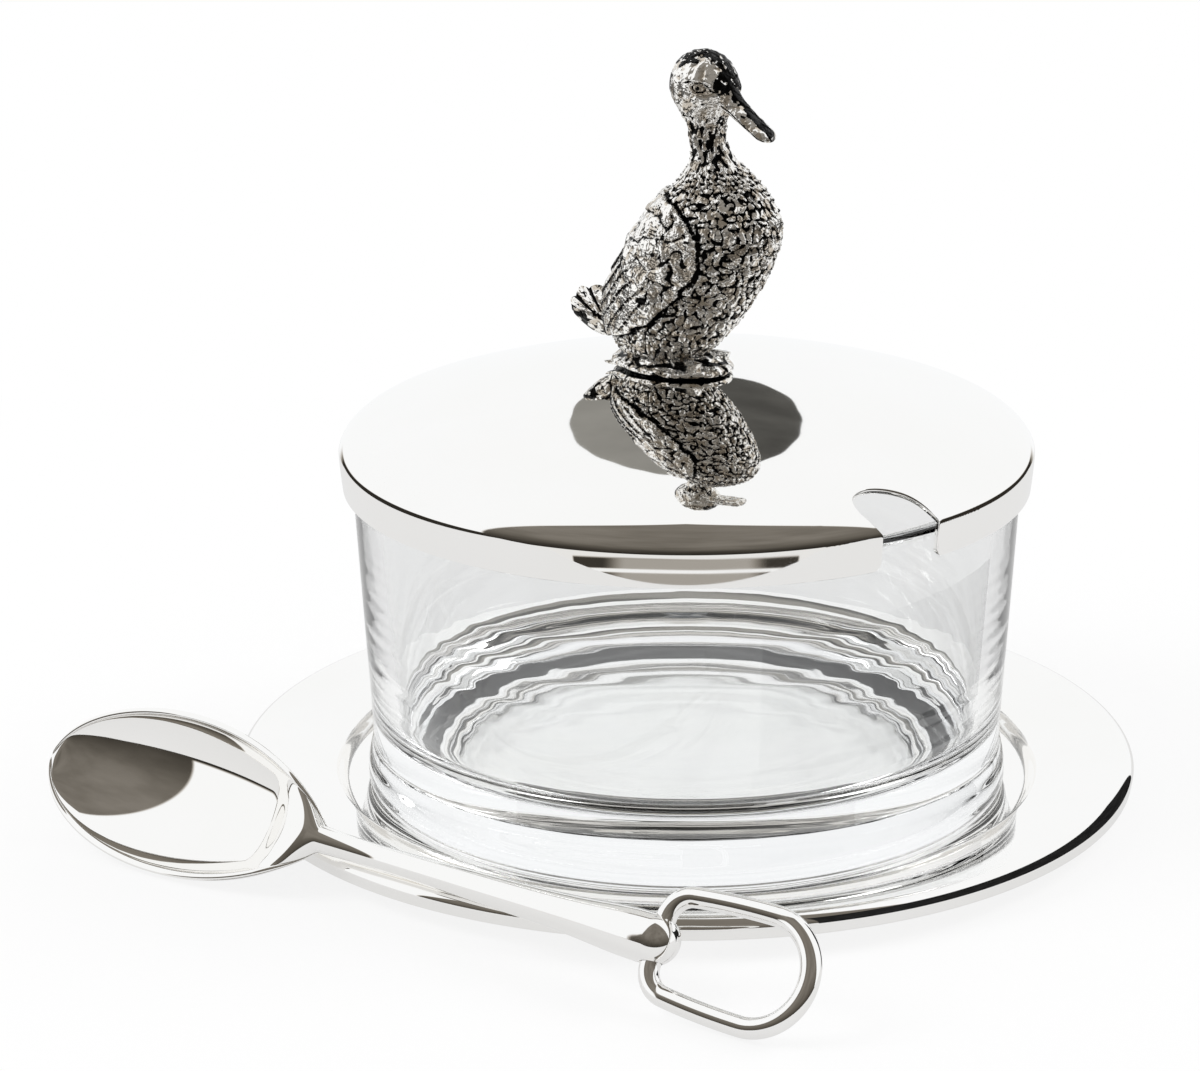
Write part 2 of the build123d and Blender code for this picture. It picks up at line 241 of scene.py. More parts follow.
def close_up(mesh):
    """Merges doubled points, turns faces outwards, so that the volume is positive, and shades smooth up to an
    edge of 40 degrees."""
    work = bmesh.new()
    work.from_mesh(mesh)
    bmesh.ops.remove_doubles(work, verts=work.verts, dist=5e-7)
    bmesh.ops.recalc_face_normals(work, faces=work.faces)
    if work.calc_volume(signed=True) < 0:
        bmesh.ops.reverse_faces(work, faces=work.faces)
    work.to_mesh(mesh)
    work.free()
    mesh.shade_smooth()
    mesh.set_sharp_from_angle(angle=math.radians(40))


def make_piece(name, points, faces, material, body, slot_name, *replaced, blackened=None):
    """Mesh object in metres from millimetre points: doubled points merged, faces turned outwards, smooth
    shaded, and riding on its body in place of its CAD nodes. A casting also stores how blackened each point
    is, and has no sharp edges."""
    mesh = bpy.data.meshes.new(name)
    mesh.from_pydata(np.asarray(points).reshape(-1, 3) / 1000, [], faces)
    if blackened is not None:
        store = mesh.attributes.new("blackened", "FLOAT", "POINT")
        store.data.foreach_set("value", np.clip(blackened, 0, 1.5).astype(np.float32).ravel())
    piece = bpy.data.objects.new(name, mesh)
    bpy.context.scene.collection.objects.link(piece)
    mesh.materials.append(material)
    close_up(mesh)
    if blackened is not None:
        mesh.shade_smooth()
    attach(piece, body)
    if replaced:
        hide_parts(*replaced)
    return piece


def grid_faces(rows, columns, closed_rows=False, closed_columns=False, start=0):
    """Quads of a grid of points, row by row, wrapped round where it is closed."""
    i = np.arange(rows if closed_rows else rows - 1)
    j = np.arange(columns if closed_columns else columns - 1)
    i, j = np.meshgrid(i, j, indexing="ij")
    i2, j2 = (i + 1) % rows, (j + 1) % columns
    quads = np.stack([i * columns + j, i * columns + j2, i2 * columns + j2, i2 * columns + j], -1)
    return (quads.reshape(-1, 4) + start).tolist()


def spin(profile, turns):
    """Profile points (radius, height) carried once round the Z axis, as rows of points."""
    angle = np.linspace(0, 2 * np.pi, turns, endpoint=False)
    r, z = np.asarray(profile).T
    return np.stack([r[:, None] * np.cos(angle), r[:, None] * np.sin(angle),
                     np.repeat(z[:, None], turns, 1)], -1)


def silver_plate():
    """Silver plate, polished: a bright neutral metal with a touch of warmth. The eye sees a near-perfect
    mirror, with a faint haze in patches about 25 mm across and a very slight swell about 17 mm long."""
    material, tree, out = new_material("silver_plate_polished")
    place = add(tree, "ShaderNodeTexCoord").outputs["Object"]
    haze = add(tree, "ShaderNodeTexNoise", {"Vector": place, "Scale": 40.0, "Detail": 3.0}).outputs["Fac"]
    rough = add(tree, "ShaderNodeMapRange", {"Value": haze, "From Min": 0.3, "From Max": 0.7, "To Min": 0.015,
                                             "To Max": 0.05}).outputs["Result"]
    swell = add(tree, "ShaderNodeTexNoise", {"Vector": place, "Scale": 60.0, "Detail": 1.0}).outputs["Fac"]
    bump = add(tree, "ShaderNodeBump", {"Height": swell, "Strength": 0.12, "Distance": 0.0002}).outputs[0]
    tone = add(tree, "ShaderNodeMix", {"Factor": haze, "A": linear("FAF9F6"), "B": linear("FEFDFC")},
               data_type="RGBA")
    shader = add(tree, "ShaderNodeBsdfPrincipled", {"Base Color": tone.outputs[2], "Metallic": 1.0,
                                                    "Roughness": rough, "Normal": bump})
    tree.links.new(shader.outputs[0], out.inputs["Surface"])
    return material


SILVER = silver_plate()
border_end = (SAUCER_R - 1.9, BORDER_Z)
wall_top = (SEAT_R + 3.0, WALL_Z)
saucer_profile = chain(
    straight((0, SHEET), (SEAT_R, SHEET), 12),
    flowing([(SEAT_R, SHEET), wall_top], (1, 0.25), (1, 0.25), 24),
    flowing([wall_top, border_end], (1, 0.25), (1, 0.03), 24),
    flowing([border_end, (SAUCER_R, EDGE_Z)], (1, 0.03), (0, -1), 28),
    straight((SAUCER_R, EDGE_Z), (SAUCER_R - 0.25, LIP_Z), 8),
    flowing([(SAUCER_R - 0.25, LIP_Z), (SAUCER_R - 1.21, LIP_Z)], (-0.15, -1), (0.15, 1), 8),
    flowing([(SAUCER_R - 1.21, LIP_Z), (border_end[0], BORDER_Z - SHEET)], (0, 1), (-1, -0.03), 20),
    flowing([(border_end[0], BORDER_Z - SHEET), (wall_top[0] + 0.3, WALL_Z - SHEET)], (-1, -0.03),
            (-1, -0.25), 20),
    flowing([(wall_top[0] + 0.3, WALL_Z - SHEET), (SEAT_R + 0.3, 0.0)], (-1, -0.25), (-1, -0.25), 20),
    straight((SEAT_R + 0.3, 0.0), (0, 0.0), 12),
)
make_piece("saucer_plate", spin(saucer_profile, SAUCER_TURNS),
           grid_faces(len(saucer_profile), SAUCER_TURNS, closed_columns=True), SILVER, "saucer",
           "silver_plate", "saucer")

# Cards of the studio: a dark oval cloth hangs behind the pot, which polished metal shows as the grey patch
# on the dome, and a low black strip stands round the right of the saucer, which draws the dark line on its
# edge. They are part of the studio, so their sizes are in metres.
OVAL_HALF = (0.064, 0.114)
OVAL_PLACE = (0.26, 0.277)
OVAL_STEPS = 90
STRIP_R = 0.082
STRIP_FOOT, STRIP_TOP = 0.002, 0.026
STRIP_STEPS = 60


def hang_card(name, points, faces, cloth):
    """Card of the studio that only polished surfaces see."""
    made = bpy.data.objects.new(name, bpy.data.meshes.new(name))
    bpy.context.scene.collection.objects.link(made)
    made.data.from_pydata(np.asarray(points).reshape(-1, 3), [], faces)
    made.data.materials.append(cloth)
    made.visible_camera = False
    made.visible_diffuse = False
    made.visible_shadow = False
    made.visible_transmission = False


# Woven cloth, unlit: grey on its left, darker on its right, and slightly mottled.
grey_cloth, tree, out = new_material("grey_cloth")
spot = add(tree, "ShaderNodeTexCoord").outputs["Object"]
weave = add(tree, "ShaderNodeTexNoise", {"Vector": spot, "Scale": 30.0, "Detail": 3.0}).outputs["Fac"]
across = add(tree, "ShaderNodeSeparateXYZ", {"Vector": spot}).outputs["X"]
level = add(tree, "ShaderNodeMapRange", {"Value": across, "From Min": 0.0, "From Max": 0.012,
                                         "To Min": 0.30, "To Max": 0.09}, interpolation_type="SMOOTHSTEP")
level = add(tree, "ShaderNodeMath", {0: weave, 1: 0.10, 2: level.outputs["Result"]}, operation="MULTIPLY_ADD")
level = add(tree, "ShaderNodeMath", {0: level.outputs[0], 1: 0.05}, operation="SUBTRACT")
glow = add(tree, "ShaderNodeEmission", {"Color": linear("F2EFE6"), "Strength": level.outputs[0]})
tree.links.new(glow.outputs[0], out.inputs["Surface"])
card_turn = np.linspace(0, 2 * np.pi, OVAL_STEPS, endpoint=False)
ragged = 1 + 0.012 * np.sin(5 * card_turn) + 0.006 * np.sin(17 * card_turn + 1)
oval = np.stack([OVAL_HALF[0] * ragged * np.cos(card_turn), np.full(OVAL_STEPS, OVAL_PLACE[0]),
                 OVAL_PLACE[1] + OVAL_HALF[1] * ragged * np.sin(card_turn)], 1)
hang_card("back_card", oval, [tuple(range(OVAL_STEPS))], grey_cloth)

# Black card, matt: it gives back next to nothing, with a faint fleck.
black_card, tree, out = new_material("black_card")
fleck = add(tree, "ShaderNodeTexNoise", {"Vector": add(tree, "ShaderNodeTexCoord").outputs["Object"],
                                         "Scale": 300.0}).outputs["Fac"]
level = add(tree, "ShaderNodeMath", {0: fleck, 1: 0.03}, operation="MULTIPLY").outputs[0]
glow = add(tree, "ShaderNodeEmission", {"Color": linear("FFFFFF"), "Strength": level})
tree.links.new(glow.outputs[0], out.inputs["Surface"])
strip_turn = np.radians(np.linspace(-72, 6, STRIP_STEPS))
strip = np.stack([[STRIP_R * np.cos(strip_turn), STRIP_R * np.sin(strip_turn), np.full(STRIP_STEPS, z)]
                  for z in (STRIP_FOOT, STRIP_TOP)])
hang_card("side_strip", np.moveaxis(strip, 1, 2), grid_faces(2, STRIP_STEPS), black_card)

# Glass pot: clear pressed glass with a thick base, a waist over the foot and a rounded rim. It stands loose
# on the saucer. The plunger that pressed its inside left faint rings on wall and floor, which bend what is
# seen through them.
GLASS_R = 51.45
GLASS_TURNS = 220
FOOT_R, FOOT_Z, FOOT_ROUND = 49.9, 1.25, 2.0
WAIST_R, WAIST_UP = 49.05, 8.4
WALL_R, WALL_UP = 49.2, 12.6
FLOOR_Z = 9.65
RIM_Z, RIM_ROUND = 53.7, 1.1
INNER_TOP_R, INNER_LOW_R = 48.3, 45.4
FLAT_FLOOR_R = 29.0
INNER_STEPS = (150, 90, 30)


def glass_profile():
    """Closed outline as radius and height: foot, waist, opening wall, rim, inner wall and floor."""
    edge_z = RIM_Z - RIM_ROUND
    flat_r, low_z, dish_z = FOOT_R - FOOT_ROUND, FOOT_Z + FOOT_ROUND, FLOOR_Z + 6.0
    foot_turn = np.radians(np.linspace(-90, 0, 14))
    foot = np.stack([flat_r + FOOT_ROUND * np.cos(foot_turn), low_z + FOOT_ROUND * np.sin(foot_turn)], 1)
    lean = (GLASS_R - WALL_R, edge_z - FOOT_Z - WALL_UP)
    inner_lean = (INNER_LOW_R - INNER_TOP_R, -(edge_z - FLOOR_Z - 6.0))
    wall_steps, dish_steps, floor_steps = INNER_STEPS
    return chain(
        straight((0, FOOT_Z), (flat_r, FOOT_Z), 20),
        foot,
        straight((FOOT_R, low_z), (FOOT_R, FOOT_Z + 2.9), 4),
        flowing([(FOOT_R, FOOT_Z + 2.9), (WAIST_R, FOOT_Z + WAIST_UP)], (0, 1), (0, 1), 26),
        flowing([(WAIST_R, FOOT_Z + WAIST_UP), (WALL_R, FOOT_Z + WALL_UP)], (0, 1), lean, 16),
        straight((WALL_R, FOOT_Z + WALL_UP), (GLASS_R, edge_z), 40),
        flowing([(GLASS_R, edge_z), (49.875, RIM_Z), (INNER_TOP_R, edge_z)], lean, inner_lean, 24),
        straight((INNER_TOP_R, edge_z), (INNER_LOW_R, dish_z), wall_steps),
        flowing([(INNER_LOW_R, dish_z), (41.0, FLOOR_Z + 1.6), (FLAT_FLOOR_R, FLOOR_Z)], inner_lean, (-1, 0),
                dish_steps),
        straight((FLAT_FLOOR_R, FLOOR_Z), (0, FLOOR_Z), floor_steps),
    )


def rippled(points, inner):
    """Moves the inner points by up to about two hundredths of a millimetre. On the wall the radius follows
    three slow waves over the height, and in the dish the height follows two over the radius; each wave
    drifts a little with the angle."""
    x, y, z = np.moveaxis(points, -1, 0)
    r, angle = np.hypot(x, y), np.arctan2(y, x)
    drift = 0.30 * np.sin(2 * angle + 1.0) + 0.16 * np.sin(5 * angle + 0.4)
    wall_wave = (0.006 * np.sin(2 * np.pi * z / 3.9 + 1.3 * drift)
                 + 0.003 * np.sin(2 * np.pi * z / 2.3 + drift)
                 + 0.009 * np.sin(2 * np.pi * z / 7.9 - 2 * drift))
    fade = np.clip((44 - z) / 16, 0, 1) * np.clip((z - FLOOR_Z - 2) / 4, 0, 1)
    wall_push = wall_wave * fade * inner
    floor_wave = (0.008 * np.sin(2 * np.pi * r / 3.7 - 1.6 * drift)
                  + 0.005 * np.sin(2 * np.pi * r / 2.3 + drift))
    in_dish = np.clip((44 - r) / 3, 0, 1) * np.clip((r - 16) / 10, 0, 1) * (z < FLOOR_Z + 4)
    r_new = r + wall_push
    return np.stack([r_new * np.cos(angle), r_new * np.sin(angle), z + floor_wave * in_dish * inner], -1)


def clear_glass():
    """Pressed soda glass: colourless with a faint cool cast in its thick base, and a fire-polished surface.
    The eye sees bright and dark lines where its curved faces bend the surroundings, a little uneven from a
    very slight swell about 11 mm long."""
    material, tree, out = new_material("pressed_soda_glass")
    place = add(tree, "ShaderNodeTexCoord").outputs["Object"]
    seed = add(tree, "ShaderNodeTexNoise", {"Vector": place, "Scale": 90.0, "Detail": 2.0}).outputs["Fac"]
    bump = add(tree, "ShaderNodeBump", {"Height": seed, "Strength": 0.08, "Distance": 0.0002}).outputs[0]
    tint = add(tree, "ShaderNodeMix", {"Factor": seed, "A": linear("FDFEFE"), "B": linear("FFFFFF")},
               data_type="RGBA")
    shader = add(tree, "ShaderNodeBsdfPrincipled", {"Base Color": tint.outputs[2], "Roughness": 0.0,
                                                    "IOR": 1.5, "Normal": bump,
                                                    "Transmission Weight": 1.0})
    shadow = add(tree, "ShaderNodeLightPath").outputs["Is Shadow Ray"]
    clear = add(tree, "ShaderNodeBsdfTransparent", {"Color": linear("F4F7F7")})
    mixed = add(tree, "ShaderNodeMixShader", {0: shadow, 1: shader.outputs[0], 2: clear.outputs[0]})
    tree.links.new(mixed.outputs[0], out.inputs["Surface"])
    return material


outline = glass_profile()
inner_run = np.arange(len(outline)) >= len(outline) - sum(INNER_STEPS) + len(INNER_STEPS)
make_piece("glass_jar", rippled(spin(outline, GLASS_TURNS), inner_run[:, None]),
           grid_faces(len(outline), GLASS_TURNS, closed_columns=True), clear_glass(), "pot", "clear_glass",
           "glass_pot")

# Lid: silver-plated sheet, spun to a low dome with a round shoulder and a short skirt. A U-shaped slot for
# the spoon is cut through skirt and shoulder; a ledge soldered inside rests on the rim of the glass.
DOME_R = 48.6
DOME_FOOT_Z, DOME_RISE, DOME_POWER = 59.45, 8.4, 1.93
SHOULDER_Z = 55.15
SHOULDER_R = 53.3
SKIRT_R = 52.8
SKIRT_Z = 49.75
SKIRT_BOW = 0.20
LID_SHEET = 0.85
SLOT_ANGLE = math.radians(-52.4)
SLOT_HALF = 5.35
SLOT_END = 46.5
SLOT_SLANT = 0.75
SLOT_CORNER = 1.2
SECTOR_HALF = math.radians(16)
SECTOR_TOP_R = 38.0
BEND_STEPS = 400
ROUND_STEPS = 72
WIDE_STEPS = 330


def dome_height(r):
    """Height of the dome's outer face: a power curve from its middle to the shoulder."""
    return DOME_FOOT_Z + DOME_RISE * (1 - (np.minimum(r, DOME_R) / DOME_R) ** DOME_POWER)


def lid_profile(count):
    """Outer face of the lid as radius and height from the middle to the skirt's lower edge, evenly spaced.
    The bend's radius is a quadratic in its turning angle, solved so that it ends at the shoulder, and the
    skirt bows out a little."""
    r = DOME_R * np.linspace(0, 1, 90)
    dome = np.stack([r, dome_height(r)], 1)
    start = math.atan(DOME_RISE * DOME_POWER / DOME_R)
    turn = np.linspace(start, np.pi / 2, BEND_STEPS)
    part_of = (turn - start) / (np.pi / 2 - start)
    powers = np.stack([part_of ** 0, part_of, part_of ** 2])
    weight = np.full(BEND_STEPS, turn[1] - turn[0]) * np.r_[0.5, np.ones(BEND_STEPS - 2), 0.5]
    rule = np.array([powers * np.cos(turn) @ weight, powers * np.sin(turn) @ weight, (1, 1, 1)])
    radius = np.linalg.solve(rule, (SHOULDER_R - DOME_R, dome[-1, 1] - SHOULDER_Z, 0.9)) @ powers
    ds = np.diff(turn) * (radius[1:] + radius[:-1]) / 2
    mid = (turn[1:] + turn[:-1]) / 2
    bend = dome[-1] + np.c_[np.r_[0, np.cumsum(ds * np.cos(mid))], np.r_[0, np.cumsum(-ds * np.sin(mid))]]
    down = np.linspace(0, 1, 60)[:, None]
    skirt = bend[-1] + down * (np.array((SKIRT_R, SKIRT_Z)) - bend[-1])
    skirt[:, :1] += SKIRT_BOW * down * (1 - down)
    line = chain(dome, bend, skirt)
    length = np.r_[0, np.cumsum(np.linalg.norm(np.diff(line, axis=0), axis=1))]
    at = np.linspace(0, length[-1], count)
    return np.stack([np.interp(at, length, line[:, 0]), np.interp(at, length, line[:, 1])], 1), at


LID_LINE, LID_AT = lid_profile(4001)
LID_END = LID_AT[-1]


def on_lid(angle, s):
    """Point of the lid's outer face at an angle round the axis and a distance s down from the middle."""
    r, z = np.interp(s, LID_AT, LID_LINE[:, 0]), np.interp(s, LID_AT, LID_LINE[:, 1])
    return np.stack(np.broadcast_arrays(r * np.cos(angle), r * np.sin(angle), z), -1)


def slot_side(s, side):
    """Angle round the axis of the slot's straight side at distance s: it leans sideways over the shoulder."""
    r, z = np.interp(s, LID_AT, LID_LINE[:, 0]), np.interp(s, LID_AT, LID_LINE[:, 1])
    across = side * SLOT_HALF - SLOT_SLANT * np.maximum(z - SHOULDER_Z, 0)
    return SLOT_ANGLE + np.arcsin(across / r)


def slot_round(turn):
    """Angle and distance of the slot's round end: a half circle in plan, carried up to the leaning cut."""
    along = SLOT_END + SLOT_HALF + SLOT_HALF * np.cos(turn)
    flat = SLOT_HALF * np.sin(turn)
    across = flat.copy()
    top = np.argmax(LID_LINE[:, 0])
    for _ in range(30):
        r = np.minimum(np.hypot(along, across), LID_LINE[top, 0])
        s = np.interp(r, LID_LINE[:top + 1, 0], LID_AT[:top + 1])
        z = np.interp(s, LID_AT, LID_LINE[:, 1])
        across = flat - SLOT_SLANT * np.maximum(z - SHOULDER_Z, 0)
    return SLOT_ANGLE + np.arctan2(across, along), s


def slot_sector():
    """Lid's face round the slot: straight blends in angle and distance from the slot's outline out to a plain
    sector, whose three sides take as many points as the outline's two sides and its round end."""
    n_side, n_corner = 40, 12
    turn = np.linspace(np.pi / 2, 3 * np.pi / 2, ROUND_STEPS)
    round_angle, round_s = slot_round(turn)
    sides = []
    for side, s_top in ((1, round_s[0]), (-1, round_s[-1])):
        s = np.linspace(LID_END - SLOT_CORNER, s_top, n_side)
        angle = slot_side(s, side)
        a = np.radians(np.linspace(0, 90, n_corner))
        corner_s = LID_END - SLOT_CORNER + SLOT_CORNER * np.cos(a)
        corner_angle = angle[0] + side * SLOT_CORNER * (1 - np.sin(a)) / SKIRT_R
        sides.append((np.r_[corner_angle[:-1], angle], np.r_[corner_s[:-1], s]))
    left, right = sides
    inner_angle = np.r_[left[0][:-1], round_angle, right[0][::-1][1:]]
    inner_s = np.r_[left[1][:-1], round_s, right[1][::-1][1:]]
    n_left = len(left[0]) - 1
    s_high = LID_AT[np.searchsorted(LID_LINE[:, 0], SECTOR_TOP_R)]
    outer_angle = SLOT_ANGLE + SECTOR_HALF * np.r_[np.ones(n_left), np.linspace(1, -1, ROUND_STEPS),
                                                   -np.ones(n_left)]
    down = np.linspace(LID_END, s_high, n_left + 1)
    outer_s = np.r_[down[:-1], np.full(ROUND_STEPS, s_high), down[::-1][1:]]
    blend = np.linspace(0, 1, 25)[:, None]
    return (inner_angle + blend * (outer_angle - inner_angle), inner_s + blend * (outer_s - inner_s),
            down[:-1], s_high)


def lid_normal(angle, s):
    """Outward normal of the lid's outer face: the profile's own way turned a quarter."""
    way = np.gradient(LID_LINE, LID_AT, axis=0)
    nr, nz = -np.interp(s, LID_AT, way[:, 1]) * (s > 0), np.interp(s, LID_AT, way[:, 0])
    size = np.hypot(nr, nz)
    return np.stack(np.broadcast_arrays(nr / size * np.cos(angle), nr / size * np.sin(angle), nz / size), -1)


# Outer and inner face take the same three patches: round the slot, round the rest of the edge, and the dome.
sector_angle, sector_s, down_s, s_high = slot_sector()
sector_ends = SLOT_ANGLE - SECTOR_HALF, SLOT_ANGLE + SECTOR_HALF
wide = np.linspace(sector_ends[1], sector_ends[0] + 2 * np.pi, WIDE_STEPS)
top_turn = np.r_[np.linspace(*sector_ends, ROUND_STEPS)[:-1], wide[:-1]]
patches = [(sector_angle, sector_s),
           np.broadcast_arrays(wide[None, :], np.r_[down_s, s_high][:, None]),
           np.broadcast_arrays(top_turn[None, :], np.linspace(s_high, 0, 60)[:, None])]
outer = np.vstack([on_lid(*p).reshape(-1, 3) for p in patches])
normals = np.vstack([lid_normal(*p).reshape(-1, 3) for p in patches])
inner = outer - LID_SHEET * normals
n_rows, n_cols = sector_angle.shape
first_wide = n_rows * n_cols
first_top = first_wide + patches[1][0].size
sheet_faces = (grid_faces(n_rows, n_cols) + grid_faces(*patches[1][0].shape, start=first_wide)
               + grid_faces(*patches[2][0].shape, closed_columns=True, start=first_top))
in_sector = np.arange(n_rows * n_cols).reshape(n_rows, n_cols)
rim = np.r_[in_sector[0], in_sector[1:, -1], first_wide + np.arange(WIDE_STEPS - 2, 0, -1),
            in_sector[:0:-1, 0]]
along = np.roll(outer[rim], -1, 0) - np.roll(outer[rim], 1, 0)
away = np.cross(along, normals[rim])
away /= np.linalg.norm(away, axis=1)[:, None]
on_skirt = len(in_sector[0]) + 40
away *= -np.sign(away[on_skirt, 2])
edge_rows = [outer[rim] - k * LID_SHEET * normals[rim] + 0.1 * w * away
             for k, w in ((0, 0), (0.12, 0.8), (0.5, 1), (0.88, 0.8), (1, 0))]
lid_points = np.vstack([outer, inner, *edge_rows])
inner_faces = [tuple(i + len(outer) for i in f) for f in sheet_faces]
edge_faces = grid_faces(5, len(rim), closed_columns=True, start=2 * len(outer))
make_piece("lid_shell", lid_points, sheet_faces + inner_faces + edge_faces, SILVER, "lid", "silver_plate",
           "lid")

# Ledge and pad of the lid, both silver-plated and soldered in: a flat ring inside the skirt, open at the
# slot, which rests on the glass, and a small disc under the dome that the fixing is drawn up to.
LEDGE_STEPS = 300
free = math.radians(14)
ledge_turn = np.linspace(SLOT_ANGLE + free, SLOT_ANGLE - free + 2 * np.pi, LEDGE_STEPS)
ledge_loop = np.array([(49.95, 53.75), (51.98, 53.75), (51.98, 54.85), (49.95, 54.85)])
ledge_grid = np.stack([ledge_loop[:, :1] * np.cos(ledge_turn), ledge_loop[:, :1] * np.sin(ledge_turn),
                       np.repeat(ledge_loop[:, 1:], LEDGE_STEPS, 1)], -1)
ledge_ends = [tuple(i * LEDGE_STEPS for i in range(4)),
              tuple((i + 1) * LEDGE_STEPS - 1 for i in (3, 2, 1, 0))]
make_piece("lid_ledge", ledge_grid, grid_faces(4, LEDGE_STEPS, closed_rows=True) + ledge_ends, SILVER, "lid",
           "silver_plate")
pad_line = np.array([(2.2, 66.33), (6.2, 66.33), (6.5, 66.6), (6.5, 67.0), (2.2, 67.1)])
make_piece("lid_pad", spin(pad_line, 96), grid_faces(5, 96, closed_rows=True, closed_columns=True), SILVER,
           "lid", "silver_plate")

# Duck: cast in one piece with its small rock and screwed to the dome from below. The silver is blackened and
# then rubbed, so the hollows between the feathers stay black and everything raised is bright.
DUCK_HEADING = -36.0
DUCK_PLACE = (-1.9, -0.6, 67.1)
DUCK_TALL = 50.2
BODY_ROWS, BODY_COLUMNS = 330, 270
FEATHERS_ROUND = 36
COVERT_SIZE = 3.9
QUILL_WIDE = 1.75


def on_lid_top(points):
    """From the duck's own frame (bill along +X, base at 0) to its place, nothing lower than the dome."""
    placed = turned(points, 2, DUCK_HEADING) + np.array(DUCK_PLACE)
    ground = dome_height(np.hypot(placed[..., 0], placed[..., 1])) + 0.02
    placed[..., 2] = np.maximum(placed[..., 2], ground)
    return placed


def turned(points, axis, degrees):
    """Points turned round an axis (0 X, 1 Y, 2 Z) by the right-hand rule."""
    c, s = math.cos(math.radians(degrees)), math.sin(math.radians(degrees))
    i, j = [(1, 2), (2, 0), (0, 1)][axis]
    out = np.array(points, float)
    out[..., i] = c * points[..., i] - s * points[..., j]
    out[..., j] = s * points[..., i] + c * points[..., j]
    return out


def grain(points, size, seed, terms=14):
    """Soft irregular field, mostly between -1.5 and 1.5: a sum of plane waves in random directions whose
    lengths lie round the given size in millimetres."""
    chance = np.random.default_rng(seed)
    way = chance.normal(size=(terms, 3))
    way *= (2 * np.pi / size / chance.uniform(0.7, 1.5, terms) / np.linalg.norm(way, axis=1))[:, None]
    start = chance.uniform(0, 2 * np.pi, terms)
    return np.sin(points @ way.T + start).sum(-1) / math.sqrt(terms)


def step(value, low, high):
    """Smooth step from 0 at low to 1 at high."""
    u = np.clip((value - low) / (high - low), 0, 1)
    return u * u * (3 - 2 * u)


def bell(value, width):
    """1 where the value is 0, falling off on both sides like a bell of the given width."""
    return np.exp(-(value / width) ** 2)


def blended(first, second, share):
    """First where the share is 0, second where it is 1."""
    return (1 - share) * first + share * second


def surface_normals(points):
    """Unit normals of a grid closed round its columns: the cross product of its two central differences."""
    out = np.cross(np.roll(points, -1, 1) - np.roll(points, 1, 1), np.gradient(points, axis=0))
    return out / np.maximum(np.linalg.norm(out, axis=-1, keepdims=True), 1e-9)


def feather_rows(across, along, tip):
    """Overlapping feathers in staggered rows. In units of one feather's width and one row: each feather rises
    to its rounded tip, which ends tip rows beyond its own row and drops to the feather under it. Gives the
    height, 0 to 1, how near a point lies behind such a drop, 0 to 1, and how far it lies from its feather's
    middle line, -0.5 to 0.5."""
    row = np.floor(along)
    part_of = along - row

    def off_middle(of_row):
        """Distance of a point from the middle line of its feather in a row, -0.5 to 0.5."""
        shift = across + 0.5 * (of_row % 2)
        return shift - np.floor(shift) - 0.5

    upper, own = off_middle(row - 1), off_middle(row)
    tip_line = tip * np.sqrt(np.clip(1 - (2 * upper) ** 2 * 0.92, 0, 1))
    on_upper = part_of < tip_line
    height = np.where(on_upper, (part_of + 1) / (1 + tip), part_of / (1 + tip))
    side = np.where(on_upper, upper, own)
    height = height * (1 - 0.55 * (2 * side) ** 2)
    shade = np.where(on_upper, 0, np.exp(-np.maximum(part_of - tip_line, 0) / 0.16))
    shade = np.maximum(shade, 0.9 * step(np.abs(side), 0.40, 0.49) * (1 - height))
    return height, shade, side


def side_distance(x, z, line):
    """Distance to a bent line in the duck's side view, positive on its left as it is walked."""
    best, signed = np.full(x.shape, 1e9), np.zeros(x.shape)
    for (ax, az), (bx, bz) in zip(line[:-1], line[1:]):
        dx, dz = bx - ax, bz - az
        t = np.clip(((x - ax) * dx + (z - az) * dz) / (dx * dx + dz * dz), 0, 1)
        gap = np.hypot(x - ax - t * dx, z - az - t * dz)
        left = np.sign(dx * (z - az) - dz * (x - ax))
        signed = np.where(gap < best, gap * left, signed)
        best = np.minimum(best, gap)
    return signed


# Level slices of the bird from its crown down: height, back, front and half width.
duck_slices = np.array([
    (50.2, 5.6, 5.6, 0.0), (49.9, 3.9, 7.3, 1.5), (49.0, 2.2, 9.0, 2.9), (47.6, 0.9, 10.3, 3.9),
    (46.0, 0.3, 11.0, 4.45), (44.0, 0.2, 11.2, 4.55), (42.2, 0.9, 10.6, 4.1), (40.6, 2.2, 9.4, 3.4),
    (38.6, 3.3, 8.9, 2.9), (36.4, 3.8, 9.2, 2.8), (34.4, 3.9, 10.3, 3.1), (32.4, 3.3, 12.3, 4.1),
    (30.2, 1.9, 14.8, 5.5), (28.0, 0.0, 16.7, 6.9), (25.6, -2.0, 18.0, 8.0), (22.6, -4.3, 18.3, 8.6),
    (19.4, -6.5, 17.2, 8.85), (16.2, -8.5, 15.7, 8.9), (13.0, -10.2, 13.7, 8.8), (9.8, -10.9, 11.5, 8.4),
    (7.0, -10.7, 9.0, 7.5), (4.6, -9.9, 6.6, 6.3), (2.8, -8.4, 4.4, 4.9), (1.6, -6.0, 2.4, 3.2),
    (1.2, -1.0, -1.0, 0.0)])
shape_line = flowing(duck_slices, (0, -1, 1, 1), (0, 1, -1, -1), 700)
run = np.r_[0, np.cumsum(np.hypot(np.diff(shape_line[:, 0]), 0.5 * (
    np.abs(np.diff(shape_line[:, 2])) + np.abs(np.diff(shape_line[:, 3])))))]
at = np.linspace(0, run[-1], BODY_ROWS)
high, back, front, broad = (np.interp(at, run, shape_line[:, k]) for k in range(4))
theta = np.linspace(0, 2 * np.pi, BODY_COLUMNS, endpoint=False)
middle, reach = (back + front) / 2, (front - back) / 2
fuller = 0.12 * step(high, 33, 26) * step(high, 2, 10)
